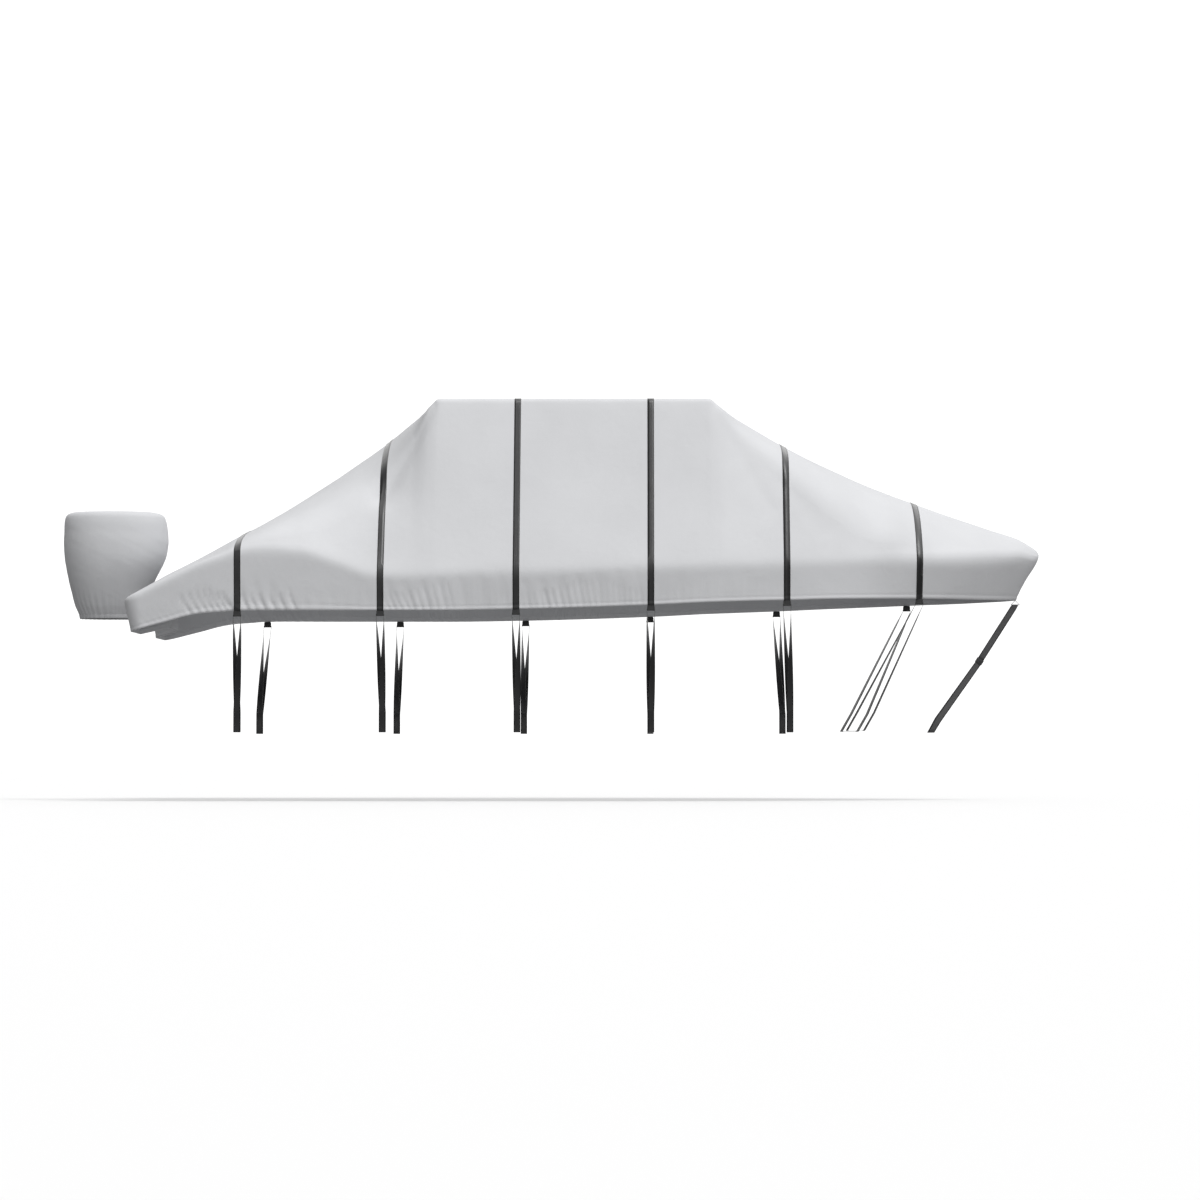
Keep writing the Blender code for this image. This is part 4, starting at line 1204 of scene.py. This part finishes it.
def bow_buckle_piece(down):
    _, depth, rise = BOW_BUCKLE_SIZE
    upper = ((*POCKET, 2 * POCKET_DEPTH), (0.0, 0.0, 0.0))
    lower_size = (POCKET[0] + BOW_POCKET_PLAY, 2 * WEBBING + BOW_POCKET_PLAY, 2 * POCKET_DEPTH)
    bm = buckle_block(BOW_BUCKLE_SIZE, BOW_BUCKLE_CORNER, BOW_BUCKLE_RIM)
    bm = carved(bm, "bow_buckle", [upper, (lower_size, (0.0, 0.0, -rise))])
    add_grips(bm, BOW_RIB, depth / 2 + 0.0002, BOW_RIB_DROPS)
    tilt = Matrix.Rotation(math.atan2(-down.x, -down.z), 3, "Y")
    bmesh.ops.rotate(bm, verts=bm.verts, matrix=tilt)
    bmesh.ops.translate(bm, vec=BOW_BUCKLE, verts=bm.verts)
    add_buckle(bm, "bow_buckle_body", "bow_buckle")


bow_webbing = woven_webbing("dark_grey_bow_webbing", (0.062, 0.062, 0.064))
drawing = {"Scale": 90.0, "Detail": 4.0}
tones = ((0.42, 0.42, 0.43), (0.66, 0.66, 0.66))
ring_steel = grained(
    "drawn_ring_steel", "TexNoise", drawing, tones, 0.2, Metallic=1.0, Roughness=0.28
)
ring_bar = bow_ring(ring_steel)
bow_way = (BOW_BUCKLE - ring_bar).normalized()
upper_bow_strap(ring_bar, bow_way)
lower_bow_strap(bow_way)
bow_buckle_piece(bow_way)

# ---------------------------------------------------------------- outboard hood
# A separate hood of the same cloth pulls down over the outboard: a boxy crown with rounded corners
# over the motor's head, drawn in towards its hem, where a cord gathers it.
HOOD_RINGS = [  # drop below the roof, reach aft, reach forward, half width
    (0.724, -3.440, -2.990, 0.165),
    (0.727, -3.492, -2.930, 0.208),
    (0.742, -3.531, -2.876, 0.238),
    (0.775, -3.548, -2.851, 0.254),
    (0.860, -3.556, -2.834, 0.268),
    (0.950, -3.558, -2.830, 0.273),
    (1.060, -3.550, -2.853, 0.268),
    (1.160, -3.532, -2.902, 0.250),
    (1.265, -3.508, -2.950, 0.222),
    (1.370, -3.478, -2.985, 0.192),
    (1.466, -3.441, -3.010, 0.160),
]
HOOD_SIDES = 120
HOOD_SQUARENESS = 2.15
HOOD_GREY = (0.560, 0.565, 0.580)
# painted shade on the hood: its colour darkens from this height down to this one, by up to this
# share
HOOD_PAINTED_SHADE = (-0.90, -1.46, 0.20)
TOP_RINGS = 8  # on the flat of the crown
CROWN_RISE = 0.006
GIRTH_SCALE = 0.3  # metres of flat cloth a radian round the hood
# drops between which its rows stand this far apart: close over the rounded top edge and at the hem
HOOD_RUNS = (
    (0.724, 0.727, 0.0015),
    (0.727, 0.775, 0.004),
    (0.775, 1.260, 0.011),
    (1.260, 1.466, 0.006),
)


def hood_column(drop):
    """(reach aft, reach forward, half width) of the hood at this drop, on a smooth curve."""
    drops = [ring[0] for ring in HOOD_RINGS]
    i = max(k for k in range(len(drops) - 1) if drops[k] <= drop + 1e-9)
    span = drops[i + 1] - drops[i]
    before = drops[i] - drops[i - 1] if i else span
    after = drops[i + 2] - drops[i + 1] if i + 2 < len(drops) else span
    rings = [HOOD_RINGS[min(max(k, 0), len(HOOD_RINGS) - 1)] for k in range(i - 1, i + 3)]
    made = []
    for a, b, c, d in list(zip(*rings))[1:]:
        rise_b = (c - a) / (span + before) * span
        rise_c = (d - b) / (span + after) * span
        made.append(hermite(b, c, rise_b, rise_c, (drop - drops[i]) / span))
    return made


def hood_point(drop, angle, share=1.0):
    """A point of the hood's rounded outline at this drop; a share below 1 is nearer its middle."""
    aft, fore, half = hood_column(drop)
    across, along = math.sin(angle), math.cos(angle)
    power = 2.0 / HOOD_SQUARENESS
    x = (aft + fore) / 2 + math.copysign(abs(along) ** power, along) * (fore - aft) / 2 * share
    return Vector((x, math.copysign(abs(across) ** power, across) * half * share, -drop))


def hood_sheet():
    bm = bmesh.new()
    cut = bm.verts.layers.float_vector.new("cut")
    levels = [HOOD_RUNS[0][0]]
    for start, end, spacing in HOOD_RUNS:
        count = math.ceil((end - start) / spacing)
        levels += [lerp(start, end, (k + 1) / count) for k in range(count)]
    bmesh.ops.create_circle(bm, cap_ends=False, segments=HOOD_SIDES, radius=1.0)
    angle_of = {vert: math.atan2(vert.co.y, vert.co.x) for vert in bm.verts}
    rim = list(bm.edges)

    def place(verts, level, share=1.0):
        """Puts a ring's vertices at this level; a share below 1 is a ring on the crown."""
        for vert in verts:
            angle = angle_of[vert]
            vert.co = hood_point(level, angle, share)
            vert.co.z += CROWN_RISE * (1.0 - share**2)
            vert[cut] = (angle * GIRTH_SCALE, -level + GIRTH_SCALE * (1.0 - share), 0.0)

    def next_ring(border, level, share=1.0):
        fresh, border = extruded(bm, border)
        for vert in fresh:
            angle_of[vert] = angle_of[origin_of(vert, angle_of)]
        place(fresh, level, share)
        return border

    place(list(bm.verts), levels[0])
    border = rim
    for step in range(1, TOP_RINGS):
        border = next_ring(border, levels[0], 1.0 - step / TOP_RINGS)
    middle = bmesh.ops.contextual_create(bm, geom=border)["faces"]
    bmesh.ops.poke(bm, faces=middle)
    border = rim
    for level in levels[1:]:
        border = next_ring(border, level)
    face_outwards(bm)
    return bm


HOOD_MIDDLE_X = -3.2
HOOD_HEM_DROP = 1.438
STITCH_GROOVE = 0.004  # half its width
GROOVE_DEPTH = 0.0012
CORD_RISE = 0.0014  # of the cloth over the hem's cord
TUCKS = 34.0  # round the hem
TUCK_BUNCHES = 5.0  # in which they stand closer and wider apart
TUCK_DEPTH = 0.0030
TUCK_ZONE = (1.22, 0.20)  # the drop where they start, and over what length they deepen
SLACK_SCALE = 4.0
SLACK_DEPTH = 0.0030
HOOD_RIPPLE_SCALE = 13.0
HOOD_RIPPLE_DEPTH = 0.0008
DRAG_SCALES = (3.0, 30.0)  # along the slanting drag lines and across them
DRAG_SLANT = 0.5
DRAG_DEPTH = 0.0010
SLACK_ZONE = (0.78, 0.10)


def gather_hood(bm):
    """Slack and drag lines over the sides, small tucks above the hem's cord, and the hem's fold."""
    bm.normal_update()
    long, short = DRAG_SCALES
    for vert in bm.verts:
        x, y, z = vert.co
        angle = math.atan2(y, x - HOOD_MIDDLE_X)
        wave = math.sin(angle * TUCKS + 2.0 * math.sin(angle * TUCK_BUNCHES))
        tucks = wave * TUCK_DEPTH * past(-z, *TUCK_ZONE)
        slack = noise.noise(vert.co * SLACK_SCALE) * SLACK_DEPTH - SLACK_DEPTH
        ripple = noise.noise(vert.co * HOOD_RIPPLE_SCALE) * HOOD_RIPPLE_DEPTH
        lines = noise.noise(Vector((x * long, y * long, (z + DRAG_SLANT * x) * short)))
        loose = slack + ripple + lines * DRAG_DEPTH
        vert.co += vert.normal * (tucks + loose * past(-z, *SLACK_ZONE))
    bm.normal_update()
    for vert in bm.verts:
        below = -vert.co.z - HOOD_HEM_DROP
        if abs(below) < STITCH_GROOVE:
            vert.co -= vert.normal * GROOVE_DEPTH
        elif below > 0:
            vert.co += vert.normal * CORD_RISE


hood_form = hood_sheet()
gather_hood(hood_form)
cloth_uv(hood_form)
hood_cloth = coated_cloth("hood_grey_cloth", HOOD_GREY, HOOD_PAINTED_SHADE)
hood = add_piece(hood_form, "hood_cloth_sheet", hood_cloth)
thicken(hood, CLOTH, -1.0)
dress(hood, "outboard_hood")
